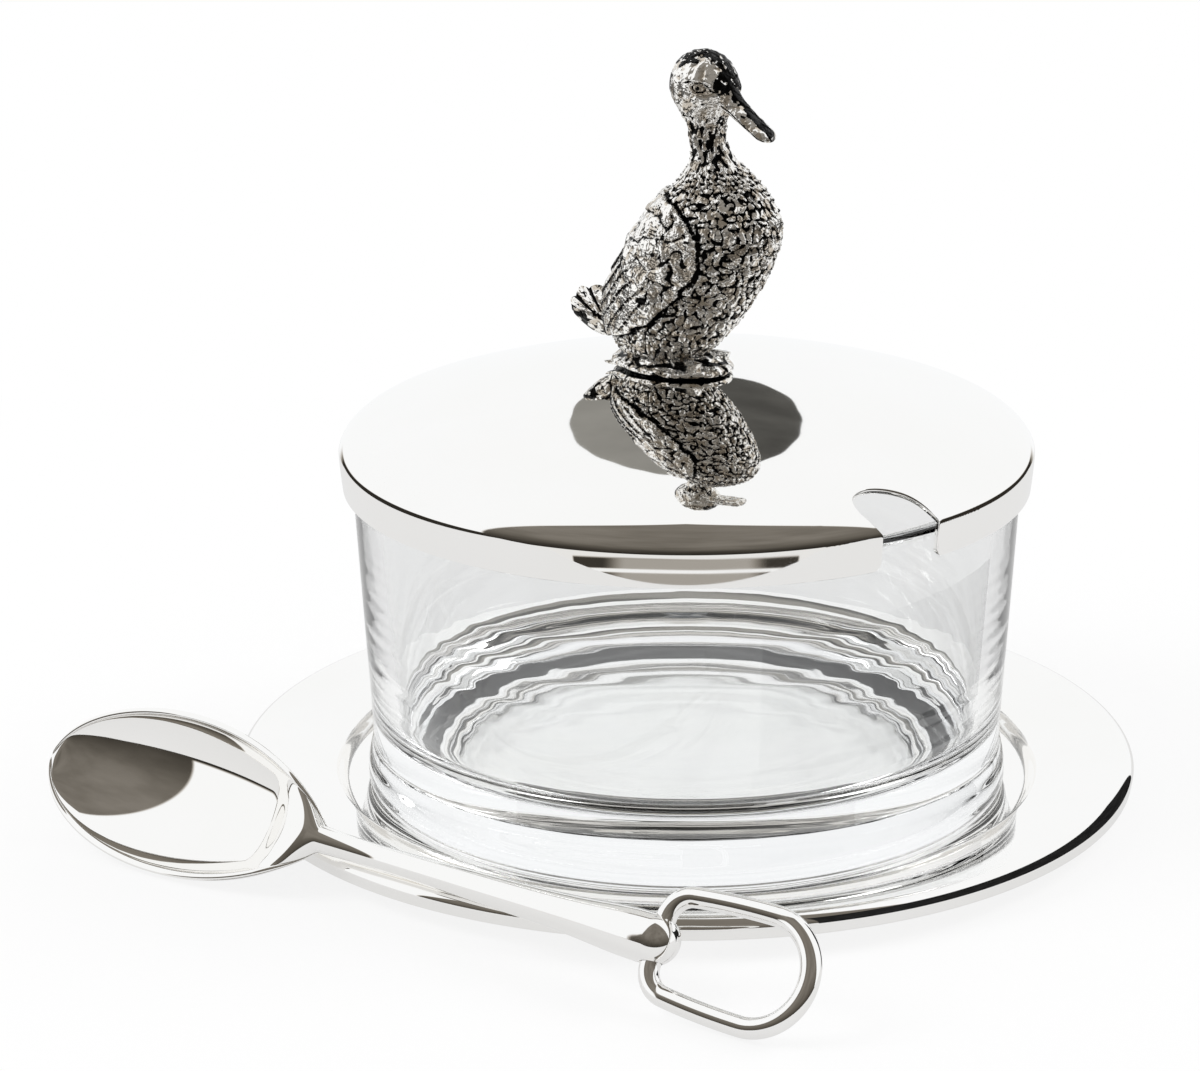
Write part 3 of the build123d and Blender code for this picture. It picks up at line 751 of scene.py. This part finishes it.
bird = np.stack(np.broadcast_arrays(
    middle[:, None] + reach[:, None] * np.cos(theta),
    np.maximum(broad, 0)[:, None] * np.sin(theta) * (1 - 0.6 * fuller[:, None] * np.cos(theta)),
    high[:, None]), -1)
bird_out = surface_normals(bird)
bird_out *= np.sign(np.sum(bird_out[BODY_ROWS // 2] * (bird[BODY_ROWS // 2] - bird[BODY_ROWS // 2].mean(0))))
x, y, z = np.moveaxis(bird, -1, 0)

# Small body feathers: 36 round the bird, so that each is 1.8 mm wide where it is broadest and narrower
# towards the neck and the rock.
girth = np.pi * (np.abs(reach) + np.abs(broad))
pitch = np.clip(girth / FEATHERS_ROUND * (1.0 + 0.9 * step(high, 31, 37)), 0.5, 3)
rows_down = np.r_[0, np.cumsum(np.diff(at) / pitch[1:])]
wobble = 0.38 * grain(bird, 3.2, 3), 0.42 * grain(bird, 2.8, 4)
small_height, small_shade, _ = feather_rows(
    theta[None, :] / (2 * np.pi) * FEATHERS_ROUND + wobble[0], rows_down[:, None] + wobble[1], 0.62)
speck = grain(bird, 0.9, 5)
relief = 0.48 * small_height - 0.18 * small_shade + 0.04 * speck
mottle = grain(bird, 1.6, 6)
dark = (0.08 + 0.95 * small_shade + 0.50 * step(0.42 + 0.16 * mottle - small_height, 0.0, 0.25)
        + 0.28 * step(speck, 0.3, 1.3))

# Wing: a raised sheet over the whole side, its front edge curving down from the shoulder to the tail.
wing_edge = [(2.0, 28.5), (5.6, 27.6), (8.6, 25.6), (10.3, 22.6), (10.2, 19.8), (8.6, 16.6), (5.4, 13.4),
             (1.4, 9.4), (-4.5, 6.2), (-11.0, 5.0), (-14.0, 5.2)]
inward = -side_distance(x, z, wing_edge) + 0.22 * grain(bird, 3.0, 9)
on_wing = step(inward, -0.08, 0.22) * step(np.abs(y), 0.5, 1.5) * (z < 31)
along_wing = (9.5 - x) * 0.74 + (25.0 - z) * 0.67
across_wing = (x - 9.5) * 0.67 - (z - 25.0) * 0.74 + 0.2 * y * np.sign(y)
covert_height, covert_shade, covert_side = feather_rows(
    across_wing / COVERT_SIZE + 0.24 * grain(bird, 4.5, 11),
    along_wing / COVERT_SIZE + 0.30 * grain(bird, 4.5, 12), 0.75)
barbs = np.sin(2 * np.pi * covert_side * 6 + 5 * covert_height + 1.5 * grain(bird, 1.8, 14))
covert_dark = covert_shade + 0.8 * step(barbs, 0.4, 1.0) * step(grain(bird, 2.2, 15), -0.1, 0.9)
covert = 0.62 * covert_height - 0.22 * covert_shade + 0.05 * barbs
long_side = across_wing / QUILL_WIDE + 0.16 * grain(bird, 6, 13)
long_part = long_side - np.floor(long_side) - 0.5
quill = 0.40 * (long_part + 0.5) - 0.30 * step(long_part, 0.36, 0.5)
quill_bars = np.sin(2 * np.pi * along_wing / 0.9 + 6 * long_part)
quill_dark = 1.1 * step(long_part, 0.30, 0.47) + 0.35 * step(quill_bars, 0.6, 1)
to_quills = step(along_wing + 0.8 * grain(bird, 3, 16), 13.0, 15.0)
wing_relief = blended(covert, quill, to_quills) + 0.04 * speck
wing_dark = blended(covert_dark, quill_dark, to_quills) + 0.15 * step(speck, 0.8, 1.6)
trench = np.exp(-(np.maximum(-inward, 0) / 0.35)) * (1 - on_wing) * step(np.abs(y), 0.6, 1.6) * (z < 31)
leading = bell(inward - 0.55, 0.45) * on_wing
relief = blended(relief - 0.35 * trench, 0.62 + wing_relief * (1 - 0.7 * leading) + 0.18 * leading, on_wing)
dark = blended(np.maximum(dark, 1.3 * trench), wing_dark * (1 - leading), on_wing)

# Neck: short streaks that run up and down. Head: close and smooth, with brow, eye and cheek.
on_neck = step(z, 31.0, 34.0) * step(z, 41.6, 39.5)
streak = grain(bird * (1, 1, 0.6), 1.15, 21) + 0.6 * grain(bird * (1, 1, 0.8), 0.75, 22)
relief = blended(relief, 0.16 * streak + 0.05 * speck, on_neck)
dark = blended(dark, 0.1 + 0.7 * step(-streak, 0.0, 0.9) + 0.3 * step(speck, 0.3, 1.2), on_neck)
on_head = step(z, 39.6, 42.0)
fine = grain(bird, 1.3, 23)
head_relief = 0.05 * fine
head_dark = 0.42 * step(fine, 0.35, 1.3) * (0.35 + 0.65 * step(z, 43.5, 40.5))
eye_a = (x - 7.6) * 0.97 - (z - 45.2) * 0.25
eye_b = (z - 45.2) * 0.97 + (x - 7.6) * 0.25
oval = np.hypot(eye_a / 1.2, (np.abs(eye_b) + 0.10 * eye_a ** 2) / 0.66)
ball = np.sqrt(np.clip(1 - (oval / 0.72) ** 2, 0, 1))
lid_ring = bell(oval - 1.25, 0.22)
socket = bell(oval - 0.86, 0.13)
pupil = bell(np.hypot(eye_a / 0.24, eye_b / 0.28), 1)
brow_line = eye_b - 1.30 + 0.13 * (eye_a + 0.2) ** 2 + 0.12 * grain(bird, 2.4, 26)
brow = bell(brow_line, 0.40) * step(np.abs(eye_a), 4.2, 2.6)
under_brow = bell(brow_line + 0.52, 0.20) * step(np.abs(eye_a), 3.6, 2.4)
cheek_line = eye_b + 2.2 - 0.10 * (eye_a + 0.3) ** 2 + 0.4 * grain(bird, 2.0, 25)
under_cheek = (0.75 * bell(cheek_line + 0.35, 0.30) * step(np.abs(eye_a), 3.0, 1.6)
               * step(grain(bird, 1.4, 27), -0.7, 0.4))
to_side = step(np.abs(y), 1.2, 2.2)
head_relief += to_side * (0.42 * ball + 0.12 * lid_ring - 0.16 * socket + 0.22 * brow - 0.15 * under_brow
                          - 0.14 * under_cheek)
head_dark = np.maximum(head_dark * (1 - 0.7 * to_side * lid_ring),
                       to_side * (0.8 * socket * step(eye_b, 0.45, -0.15) + 1.2 * pupil + 0.6 * under_brow
                                  + 0.7 * under_cheek))
brow_side = np.maximum((z - 48.2) * 0.8, (x - 8.9) * 0.9 + (z - 46.6) * 0.3)
crown = step(0.45 * grain(bird, 3.4, 24) + 0.35 * grain(bird, 1.1, 28) + brow_side, 0.0, 0.7)
head_dark = np.maximum(head_dark, 0.85 * crown * step(grain(bird, 0.8, 29), 1.3, 0.5) * step(z, 43.6, 45.0))
nape = step(-(x - 2.4) * 0.6 + 0.6 * grain(bird, 1.5, 30), 0.2, 1.0) * step(z, 47.5, 46.0)
head_dark = np.maximum(head_dark, 0.8 * nape)
relief = blended(relief, head_relief, on_head)
dark = blended(dark, head_dark, on_head)
ends = step(np.minimum(at, at[-1] - at), 0.0, 2.0)[:, None]
bird = bird + bird_out * (relief * ends)[..., None]
bird = np.minimum(bird, np.array([1e9, 1e9, DUCK_TALL - 0.02]))


def antique_silver():
    """Cast silver, oxidised black and rubbed back: raised parts are bright, warm and softly polished, hollows
    are matt black sulphide. The black comes from the attribute that each cast piece carries in its mesh, made
    ragged by a speckle of about 0.7 mm, and the skin of the casting has shallow pits of about 1.6 mm."""
    material, tree, out = new_material("antique_silver_cast")
    hollow = add(tree, "ShaderNodeAttribute", attribute_name="blackened").outputs["Fac"]
    place = add(tree, "ShaderNodeTexCoord").outputs["Object"]
    pits = add(tree, "ShaderNodeTexNoise", {"Vector": place, "Scale": 620.0, "Detail": 2.0}).outputs["Fac"]
    fine = add(tree, "ShaderNodeTexNoise", {"Vector": place, "Scale": 1500.0, "Detail": 1.0}).outputs["Fac"]
    worn = add(tree, "ShaderNodeMath", {0: fine, 1: 1.1, 2: hollow}, operation="MULTIPLY_ADD").outputs[0]
    black = add(tree, "ShaderNodeMapRange", {"Value": worn, "From Min": 0.88, "From Max": 1.04},
                interpolation_type="SMOOTHSTEP").outputs["Result"]
    patch = add(tree, "ShaderNodeMapRange", {"Value": pits, "From Min": 0.60, "From Max": 0.50},
                interpolation_type="SMOOTHSTEP").outputs["Result"]
    bright = add(tree, "ShaderNodeMix", {"Factor": patch, "A": linear("D2C9BC"), "B": linear("FFFDF9")},
                 data_type="RGBA").outputs[2]
    tone = add(tree, "ShaderNodeMix", {"Factor": black, "A": bright, "B": linear("0B0A09")}, data_type="RGBA")
    rough = add(tree, "ShaderNodeMapRange", {"Value": black, "To Min": 0.13,
                                             "To Max": 0.42}).outputs["Result"]
    height = add(tree, "ShaderNodeMath", {0: pits, 1: -1.0}, operation="MULTIPLY").outputs[0]
    bump = add(tree, "ShaderNodeBump", {"Height": height, "Strength": 1.0, "Distance": 0.0010}).outputs[0]
    shader = add(tree, "ShaderNodeBsdfPrincipled", {"Base Color": tone.outputs[2], "Metallic": 0.9,
                                                    "Roughness": rough, "Normal": bump})
    tree.links.new(shader.outputs[0], out.inputs["Surface"])
    return material


ANTIQUE = antique_silver()


def cast_piece(name, points, blackened, *replaced):
    """Piece of the casting from a grid closed round its columns, at its place on the lid."""
    make_piece(name, on_lid_top(points), grid_faces(*points.shape[:2], closed_columns=True), ANTIQUE, "lid",
               "antique_silver", *replaced, blackened=blackened)


cast_piece("duck_body", bird, dark, "duck_finial")

# Bill, cast with the duck and blackened like it: flat and slightly spooned, with a nail at the tip, a long
# nostril and the line between its halves.
BILL_LONG = 11.6
BILL_STEPS = 96
t = 1 - np.cos(np.linspace(0, 1, 90) * np.pi / 2)
t = np.r_[t[:60] / t[59] * 0.86, 0.86 + 0.14 * np.sin(np.linspace(0, np.pi / 2, 31)[1:])]
bill_cap = np.sqrt(np.clip(1 - ((np.maximum(t, 0.86) - 0.86) / 0.14) ** 2, 0, 1))
bill_high = np.interp(t, [0, .15, .35, .6, .86, 1], [2.7, 2.15, 1.45, 1.05, 0.85, 0.75]) * bill_cap
bill_wide = np.interp(t, [0, .15, .35, .6, .86, 1], [2.9, 2.25, 1.95, 2.15, 2.2, 2.0]) * bill_cap
bend = np.linspace(0, 2 * np.pi, BILL_STEPS, endpoint=False)
cos_b, sin_b = np.cos(bend), np.sin(bend)
bill_y = bill_wide[:, None] * np.sign(cos_b) * np.abs(cos_b) ** 0.9
bill_up = bill_high[:, None] * np.where(sin_b > 0, np.abs(sin_b) ** 1.25 * 1.15, -np.abs(sin_b) ** 0.8 * 0.75)
bill_on = np.repeat(t[:, None] * BILL_LONG, BILL_STEPS, 1)
split = bell(bill_up + 0.12 * bill_high[:, None], 0.10) * step(np.abs(bill_y), 0.7, 1.4)
split = split * step(t, 0.12, 0.2)[:, None] * step(t, 0.99, 0.93)[:, None]
nostril = bell(bill_on - 3.3, 0.62) * bell(np.abs(bill_y) - 1.15, 0.25) * (sin_b > 0)
nail = bell(np.hypot((bill_on - 10.7) / 0.9, bill_y / 0.8) - 1, 0.12) * (sin_b > 0)
bill_y = bill_y * (1 - 0.06 * split)
bill_up = bill_up - 0.22 * nostril - 0.06 * nail
slope = math.radians(-33.0)
bill = np.stack([8.2 + bill_on * math.cos(slope) - bill_up * math.sin(slope),
                 bill_y, 44.1 + bill_on * math.sin(slope) + bill_up * math.cos(slope)], -1)
bill[0] = bill[0].mean(0)
bill_speck = grain(bill, 1.1, 31)
bill_dark = (0.9 * split + 1.3 * nostril + 0.8 * nail + 0.45 * step(bill_speck, 0.5, 1.4)
             + 0.95 * step(0.52 - np.abs(cos_b) + 0.10 * bill_speck, 0.0, 0.12) * (sin_b > 0)
             * step(t, 0.99, 0.95)[:, None])
cast_piece("duck_bill", bill, bill_dark)

# Tail, cast with the duck: feathers spread in a cocked shell behind the rump, one quill to each groove, with
# a scalloped rim.
TAIL_X = -12.4
TAIL_STEPS = 46
psi = np.linspace(-np.pi, np.pi, 240, endpoint=False)
over = np.linspace(0, 1, TAIL_STEPS)[:, None]
spread = np.sqrt(np.maximum(np.cos(psi), 0))
scallop = 1 + 0.045 * np.abs(np.cos(psi * 4.5)) * step(np.cos(psi), -0.2, 0.2)
plan_x = np.where(np.cos(psi) > 0, -5.2 * spread, 4.4 * np.abs(np.cos(psi)) ** 0.8) * over * scallop
plan_y = 4.9 * np.sin(psi) * over * scallop
rim_high = 10.0 - 2.0 * np.clip(-np.sin(psi), 0, 1) - 0.6 * np.clip(np.sin(psi), 0, 1)
groove = np.abs(np.cos(psi * 4.5)) ** 0.7
lift = 0.55 * groove * step(over, 0.1, 0.6)
top_face, low_face = (np.stack([TAIL_X + plan_x, plan_y, tall], -1) for tall in (
    5.6 + (rim_high - 5.6) * over ** 1.5 + lift,
    rim_high - 0.45 - (rim_high - 4.0) * (1 - over ** 1.7)))
shell = np.vstack([top_face, low_face[::-1][1:]])
shell_speck = grain(shell, 1.0, 41)
row_of = np.r_[over[:, 0], over[::-1][1:, 0]][:, None]
under = np.arange(len(shell))[:, None] >= TAIL_STEPS
shell_lines = np.sin(psi * 9 + 1.5 * grain(shell, 4, 42)) + 0.7 * grain(shell, 2.2, 43)
shell_dark = np.where(under, step(shell_lines, 0.3, 0.9),
                      1.25 * step(groove, 0.66, 0.36) * step(row_of, 0.05, 0.2))
cast_piece("duck_tail", shell, shell_dark + 0.6 * step(shell_speck, 0.2, 1.2))

# Rock, cast with the duck, which sits on it: a flat oval plate with a hollow under its rim, and a low swirled
# mound. The screw draws its flat underside down on the dome.
ROCK_LONG, ROCK_WIDE = 10.2, 7.3
rock_turn = np.linspace(0, 2 * np.pi, 220, endpoint=False)
rock_line = np.array([(0, 3.7), (0.35, 3.6), (0.62, 3.15), (0.80, 2.45), (0.90, 1.95), (0.965, 1.75),
                      (1.0, 1.45), (1.0, 1.15), (0.97, 0.92), (0.90, 0.80), (0.86, 0.45), (0.86, 0.2),
                      (0.4, 0.2), (0, 0.2)])
rock_far = np.r_[0, np.cumsum(np.hypot(np.diff(rock_line[:, 0]) * 8, np.diff(rock_line[:, 1])))]
rock_at = np.linspace(0, rock_far[-1], 110)
rock_r, rock_z = np.interp(rock_at, rock_far, rock_line[:, 0]), np.interp(rock_at, rock_far, rock_line[:, 1])
spur = 1 + 0.16 * bell(rock_turn - 3.85, 0.07) * (step(rock_r, 0.84, 0.97) * (rock_z < 1.3))[:, None]
rock = np.stack(np.broadcast_arrays(
    -0.2 + ROCK_LONG * spur * rock_r[:, None] * np.cos(rock_turn),
    ROCK_WIDE * spur * rock_r[:, None] * np.sin(rock_turn), rock_z[:, None]), -1)
swirl = np.sin(2 * np.pi * rock_r[:, None] * 3.2 + 1.6 * grain(rock, 6.0, 51))
on_mound = step(rock_z, 1.7, 2.2)[:, None]
rock[..., 2] += 0.16 * swirl * on_mound + 0.10 * grain(rock, 2.2, 52) * step(rock_z, 0.75, 1.0)[:, None]
rock_speck = grain(rock, 0.9, 53)
rock_dark = (step(-swirl, 0.25, 0.8) * on_mound + 1.2 * step(rock_z, 0.95, 0.78)[:, None]
             + 0.7 * step(rock_speck, 0.2, 1.1))
cast_piece("duck_rock", rock, rock_dark)

# Feet, cast with the duck: webbed, three toes each, flat on the front of the rock. The rows of each run
# outwards over its low top, with a ridge along every toe, and back along its level underside.
FOOT_TOP_ROWS, FOOT_LOW_ROWS = 16, 10
for name, side in (("duck_foot_right", -1), ("duck_foot_left", 1)):
    web = np.linspace(-np.pi, np.pi, 120, endpoint=False)
    ahead = np.clip(np.cos(web), 0, 1)
    toes = 0.5 + 0.5 * np.cos(web * 3.6)
    reach_out = np.where(np.cos(web) > 0, 2.6 + 1.5 * ahead + 0.45 * toes * ahead, 2.4)
    out_r = np.r_[np.linspace(0, 1, FOOT_TOP_ROWS), np.linspace(1, 0, FOOT_LOW_ROWS)[1:]][:, None]
    ridge = 0.42 * toes * step(out_r, 0.1, 0.4) * (ahead > 0)
    on_top = np.arange(len(out_r))[:, None] < FOOT_TOP_ROWS
    up = np.where(on_top, 0.95 - 0.25 * out_r ** 2 + ridge, 0.0)
    flat_x, flat_y = out_r * reach_out * np.cos(web), out_r * reach_out * np.sin(web) * 0.72
    aim = math.radians(side * 14)
    foot = np.stack([3.3 + flat_x * math.cos(aim) - flat_y * math.sin(aim),
                     side * 3.0 + flat_x * math.sin(aim) + flat_y * math.cos(aim), 1.75 + 1.25 * up], -1)
    foot_dark = step(0.5 - toes, 0.1, 0.4) * (ahead > 0.1) * 0.9 + 0.4 * step(grain(foot, 0.9, 61), 0.3, 1.2)
    cast_piece(name, foot, foot_dark)

# Fixing under the dome: a socket-head screw and a flat washer, both of bright zinc-plated steel. The screw
# goes up through washer, pad and dome into the rock. Both keep the shapes of the frame.


def zinc_steel():
    """Zinc-plated steel, tumbled: a pale bluish metal with a satin grain about 0.3 mm across."""
    material, tree, out = new_material("zinc_plated_steel")
    place = add(tree, "ShaderNodeTexCoord").outputs["Object"]
    cloud = add(tree, "ShaderNodeTexNoise", {"Vector": place, "Scale": 3300.0, "Detail": 2.0}).outputs["Fac"]
    tone = add(tree, "ShaderNodeMix", {"Factor": cloud, "A": linear("AEB4BC"), "B": linear("C9CED4")},
               data_type="RGBA")
    rough = add(tree, "ShaderNodeMapRange", {"Value": cloud, "To Min": 0.28,
                                             "To Max": 0.42}).outputs["Result"]
    bump = add(tree, "ShaderNodeBump", {"Height": cloud, "Strength": 0.2, "Distance": 0.00005}).outputs[0]
    shader = add(tree, "ShaderNodeBsdfPrincipled", {"Base Color": tone.outputs[2], "Metallic": 1.0,
                                                    "Roughness": rough, "Normal": bump})
    tree.links.new(shader.outputs[0], out.inputs["Surface"])
    return material


ZINC = zinc_steel()
for name in ("finial_washer", "finial_screw"):
    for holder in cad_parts[name].material_slots:
        holder.material = ZINC

# Spoon: silver-plated, forged in one piece. A deep oval bowl, its rim flowing into a stem that starts thin
# and thickens to a round end, which is cross-drilled for the ring. It lies loose on the table in front of the
# saucer, its bowl tipped to the front.
BOWL_LONG = 24.0
BOWL_WIDE = 12.3
BOWL_DEEP = 6.9
SPOON_SHEET = 1.0
STEM_END_X, STEM_END_R = 86.9, 3.65
EYE_X, EYE_R, EYE_STEPS = 87.5, 1.6, 64
SPOON_ROLL, SPOON_TIP, SPOON_HEADING = 56.1, 1.6, -33.4
SPOON_PLACE = (-45.2, -SAUCER_R - 0.9, 11.22)


def lying(points):
    """From the spoon's own frame (rim level, stem along +X) to where it lies, bowl tipped to the front."""
    points = turned(turned(points, 0, SPOON_ROLL), 1, SPOON_TIP) + np.array(SPOON_PLACE)
    return turned(points, 2, SPOON_HEADING)


def spoon_surface():
    """Sections across the spoon, one at each x. Each is half an oval below, a rounded rim, and half an oval
    above that is hollow in the bowl and rises to the round back of the stem; their sizes run along x as
    smooth curves, and the larger of bowl and stem is taken with a soft maximum where the two meet. The bowl's
    floor begins to rise a little before the rest turns into the stem."""
    x = np.r_[-BOWL_LONG * np.cos(np.linspace(0, np.pi / 2, 60)),
              np.linspace(0, 18, 40)[1:], np.linspace(18, 30, 60)[1:], np.linspace(30, 83.85, 90)[1:],
              83.85 + 2.98 * np.linspace(0, 1, 5)[1:],
              STEM_END_X + STEM_END_R * np.sin(np.radians(np.linspace(3, 90, 26)))]
    tail = np.sqrt(np.clip(1 - (np.maximum(x - STEM_END_X, 0) / STEM_END_R) ** 2, 0, 1))
    stem_r = flowing([(20, 2.75), (24.5, 2.25), (29.7, 1.92), (52.5, 2.17), (73.5, 2.92), (84, 3.65)],
                     (1, -0.12), (1, 0.02), 400)
    stem_r = np.interp(x, stem_r[:, 0], stem_r[:, 1]) * tail
    stem_z = flowing([(20, -1.2), (24.5, -2.0), (29.7, -2.6), (52.5, -2.39), (73.5, -0.91), (84, -0.1),
                      (91, 0.0)], (1, -0.2), (1, 0), 400)
    stem_z = np.interp(x, stem_z[:, 0], stem_z[:, 1])
    to_neck = x > 0
    oval = np.clip(1 - (x / np.where(to_neck, BOWL_LONG + 3.2, BOWL_LONG)) ** 2, 0, 1)
    oval = oval ** np.where(to_neck, 0.62, 0.5)
    hollow = np.clip(1 - (x / np.where(to_neck, BOWL_LONG + 1.6, BOWL_LONG - SPOON_SHEET)) ** 2, 0, 1)
    hollow = hollow ** np.where(to_neck, 0.9, 0.75)
    in_stem = step(x, 19, 28)
    floor_up = step(x, 15.5, 28)
    stem_on = np.clip((x - 8) / 12, 0, 1)
    wide = ((BOWL_WIDE * oval) ** 3 + (stem_r * stem_on) ** 3) ** (1 / 3)
    low = ((BOWL_DEEP * oval) ** 3 + ((stem_r - stem_z) * in_stem) ** 3) ** (1 / 3)
    rim_z = stem_z * in_stem - 0.30 * (1 - in_stem)
    top = (1 - floor_up) * (-(BOWL_DEEP - SPOON_SHEET) * hollow) + floor_up * (stem_z + stem_r)
    sheet = np.minimum(SPOON_SHEET * (1 - in_stem) + 0.02, 0.9 * wide)
    half = np.linspace(0, np.pi, 36)
    bend = np.linspace(0, np.pi, 9)
    y_out, z_out = -np.cos(half), -np.sin(half)
    rows_y = [wide[:, None] * y_out, (wide - sheet / 2)[:, None] + sheet[:, None] / 2 * np.cos(bend[1:-1]),
              (wide - sheet)[:, None] * np.cos(half),
              -(wide - sheet / 2)[:, None] - sheet[:, None] / 2 * np.cos(bend[1:-1])]
    rows_z = [rim_z[:, None] + np.maximum(low + rim_z, 0)[:, None] * z_out,
              rim_z[:, None] + sheet[:, None] * 0.30 * np.sin(bend[1:-1]),
              rim_z[:, None] + (top - rim_z)[:, None] * np.sin(half) ** (1.0 + 0.5 * (1 - in_stem))[:, None],
              rim_z[:, None] + sheet[:, None] * 0.30 * np.sin(bend[1:-1])]
    y, z = np.hstack(rows_y), np.hstack(rows_z)
    return np.stack([np.repeat(x[:, None], y.shape[1], 1), y, z], -1)


spoon_grid = spoon_surface()
spoon = make_piece("jam_spoon", lying(spoon_grid), grid_faces(*spoon_grid.shape[:2], closed_columns=True),
                   SILVER, "spoon", "silver_plate", "spoon")

# The eye is drilled right through the stem's end by a round bar, which is then taken away.
eye_turn = np.linspace(0, 2 * np.pi, EYE_STEPS, endpoint=False)
eye_hole = np.stack([np.stack([EYE_X + EYE_R * np.cos(eye_turn), np.full(EYE_STEPS, y),
                               EYE_R * np.sin(eye_turn)], 1) for y in (-8.0, 8.0)])
hole_caps = [tuple(range(EYE_STEPS)), tuple(range(2 * EYE_STEPS - 1, EYE_STEPS - 1, -1))]
hole = make_piece("eye_drill", lying(eye_hole), grid_faces(2, EYE_STEPS, closed_columns=True) + hole_caps,
                  SILVER, "spoon", "silver_plate")
drilled = spoon.modifiers.new("drilled", "BOOLEAN")
drilled.object = hole
drilled.operation = "DIFFERENCE"
drilled.solver = "MANIFOLD"
bpy.context.view_layer.update()
with bpy.context.temp_override(object=spoon, active_object=spoon, selected_objects=[spoon]):
    bpy.ops.object.modifier_apply(modifier="drilled")
close_up(spoon.data)
bpy.data.objects.remove(hole)

# Ring of the spoon: silver-plated round wire, bent to a closed oval through the drilled eye and soldered. It
# swings freely in the eye, and is drawn in the plane of the bowl's rim.
RING_WIRE = 2.99
RING_LONG = 24.1
RING_HALF = 7.9
RING_CORNER = 3.9
RING_STEPS, WIRE_STEPS = 320, 32


def ring_path(count):
    """Closed line of the wire in the spoon's plane: short straight in the eye, two tight corners, long sides
    of one large arc each, and a half circle; points at even distances along it."""
    straight_half = STEM_END_R - 0.35
    end_x = RING_LONG - RING_HALF
    drop, run = RING_HALF - straight_half, end_x - RING_CORNER
    side_r = (run ** 2 + drop ** 2 - RING_CORNER ** 2) / (2 * (drop - RING_CORNER))
    lean = math.asin(run / (side_r - RING_CORNER))
    a = np.linspace(np.pi, np.pi / 2 + lean, 40)
    corner = np.stack([RING_CORNER + RING_CORNER * np.cos(a), straight_half + RING_CORNER * np.sin(a)], 1)
    b = np.linspace(np.pi / 2 + lean, np.pi / 2, 60)[1:]
    side = np.stack([end_x + side_r * np.cos(b), RING_HALF - side_r + side_r * np.sin(b)], 1)
    c = np.linspace(np.pi / 2, 0, 60)[1:]
    end = np.stack([end_x + RING_HALF * np.cos(c), RING_HALF * np.sin(c)], 1)
    half = np.vstack([[(0, 0)], corner, side, end])
    loop = np.vstack([half, half[-2:0:-1] * (1, -1)])
    closed = np.vstack([loop, loop[:1]])
    far = np.r_[0, np.cumsum(np.linalg.norm(np.diff(closed, axis=0), axis=1))]
    at = np.linspace(0, far[-1], count, endpoint=False)
    return np.stack([np.interp(at, far, closed[:, 0]), np.interp(at, far, closed[:, 1])], 1)


line = ring_path(RING_STEPS)
way = np.roll(line, -2, 0) - np.roll(line, 2, 0)
way /= np.linalg.norm(way, axis=1)[:, None]
wire_turn = np.linspace(0, 2 * np.pi, WIRE_STEPS, endpoint=False)
beside = np.stack([-way[:, 1], way[:, 0]], 1)
flat = line[:, None, :] + RING_WIRE / 2 * np.cos(wire_turn)[None, :, None] * beside[:, None, :]
ring_grid = np.concatenate([flat + (EYE_X, 0), np.broadcast_to(
    RING_WIRE / 2 * np.sin(wire_turn)[None, :, None], flat.shape[:2] + (1,))], -1)
make_piece("spoon_ring_wire", lying(ring_grid),
           grid_faces(RING_STEPS, WIRE_STEPS, closed_rows=True, closed_columns=True), SILVER, "ring",
           "silver_plate", "spoon_ring")
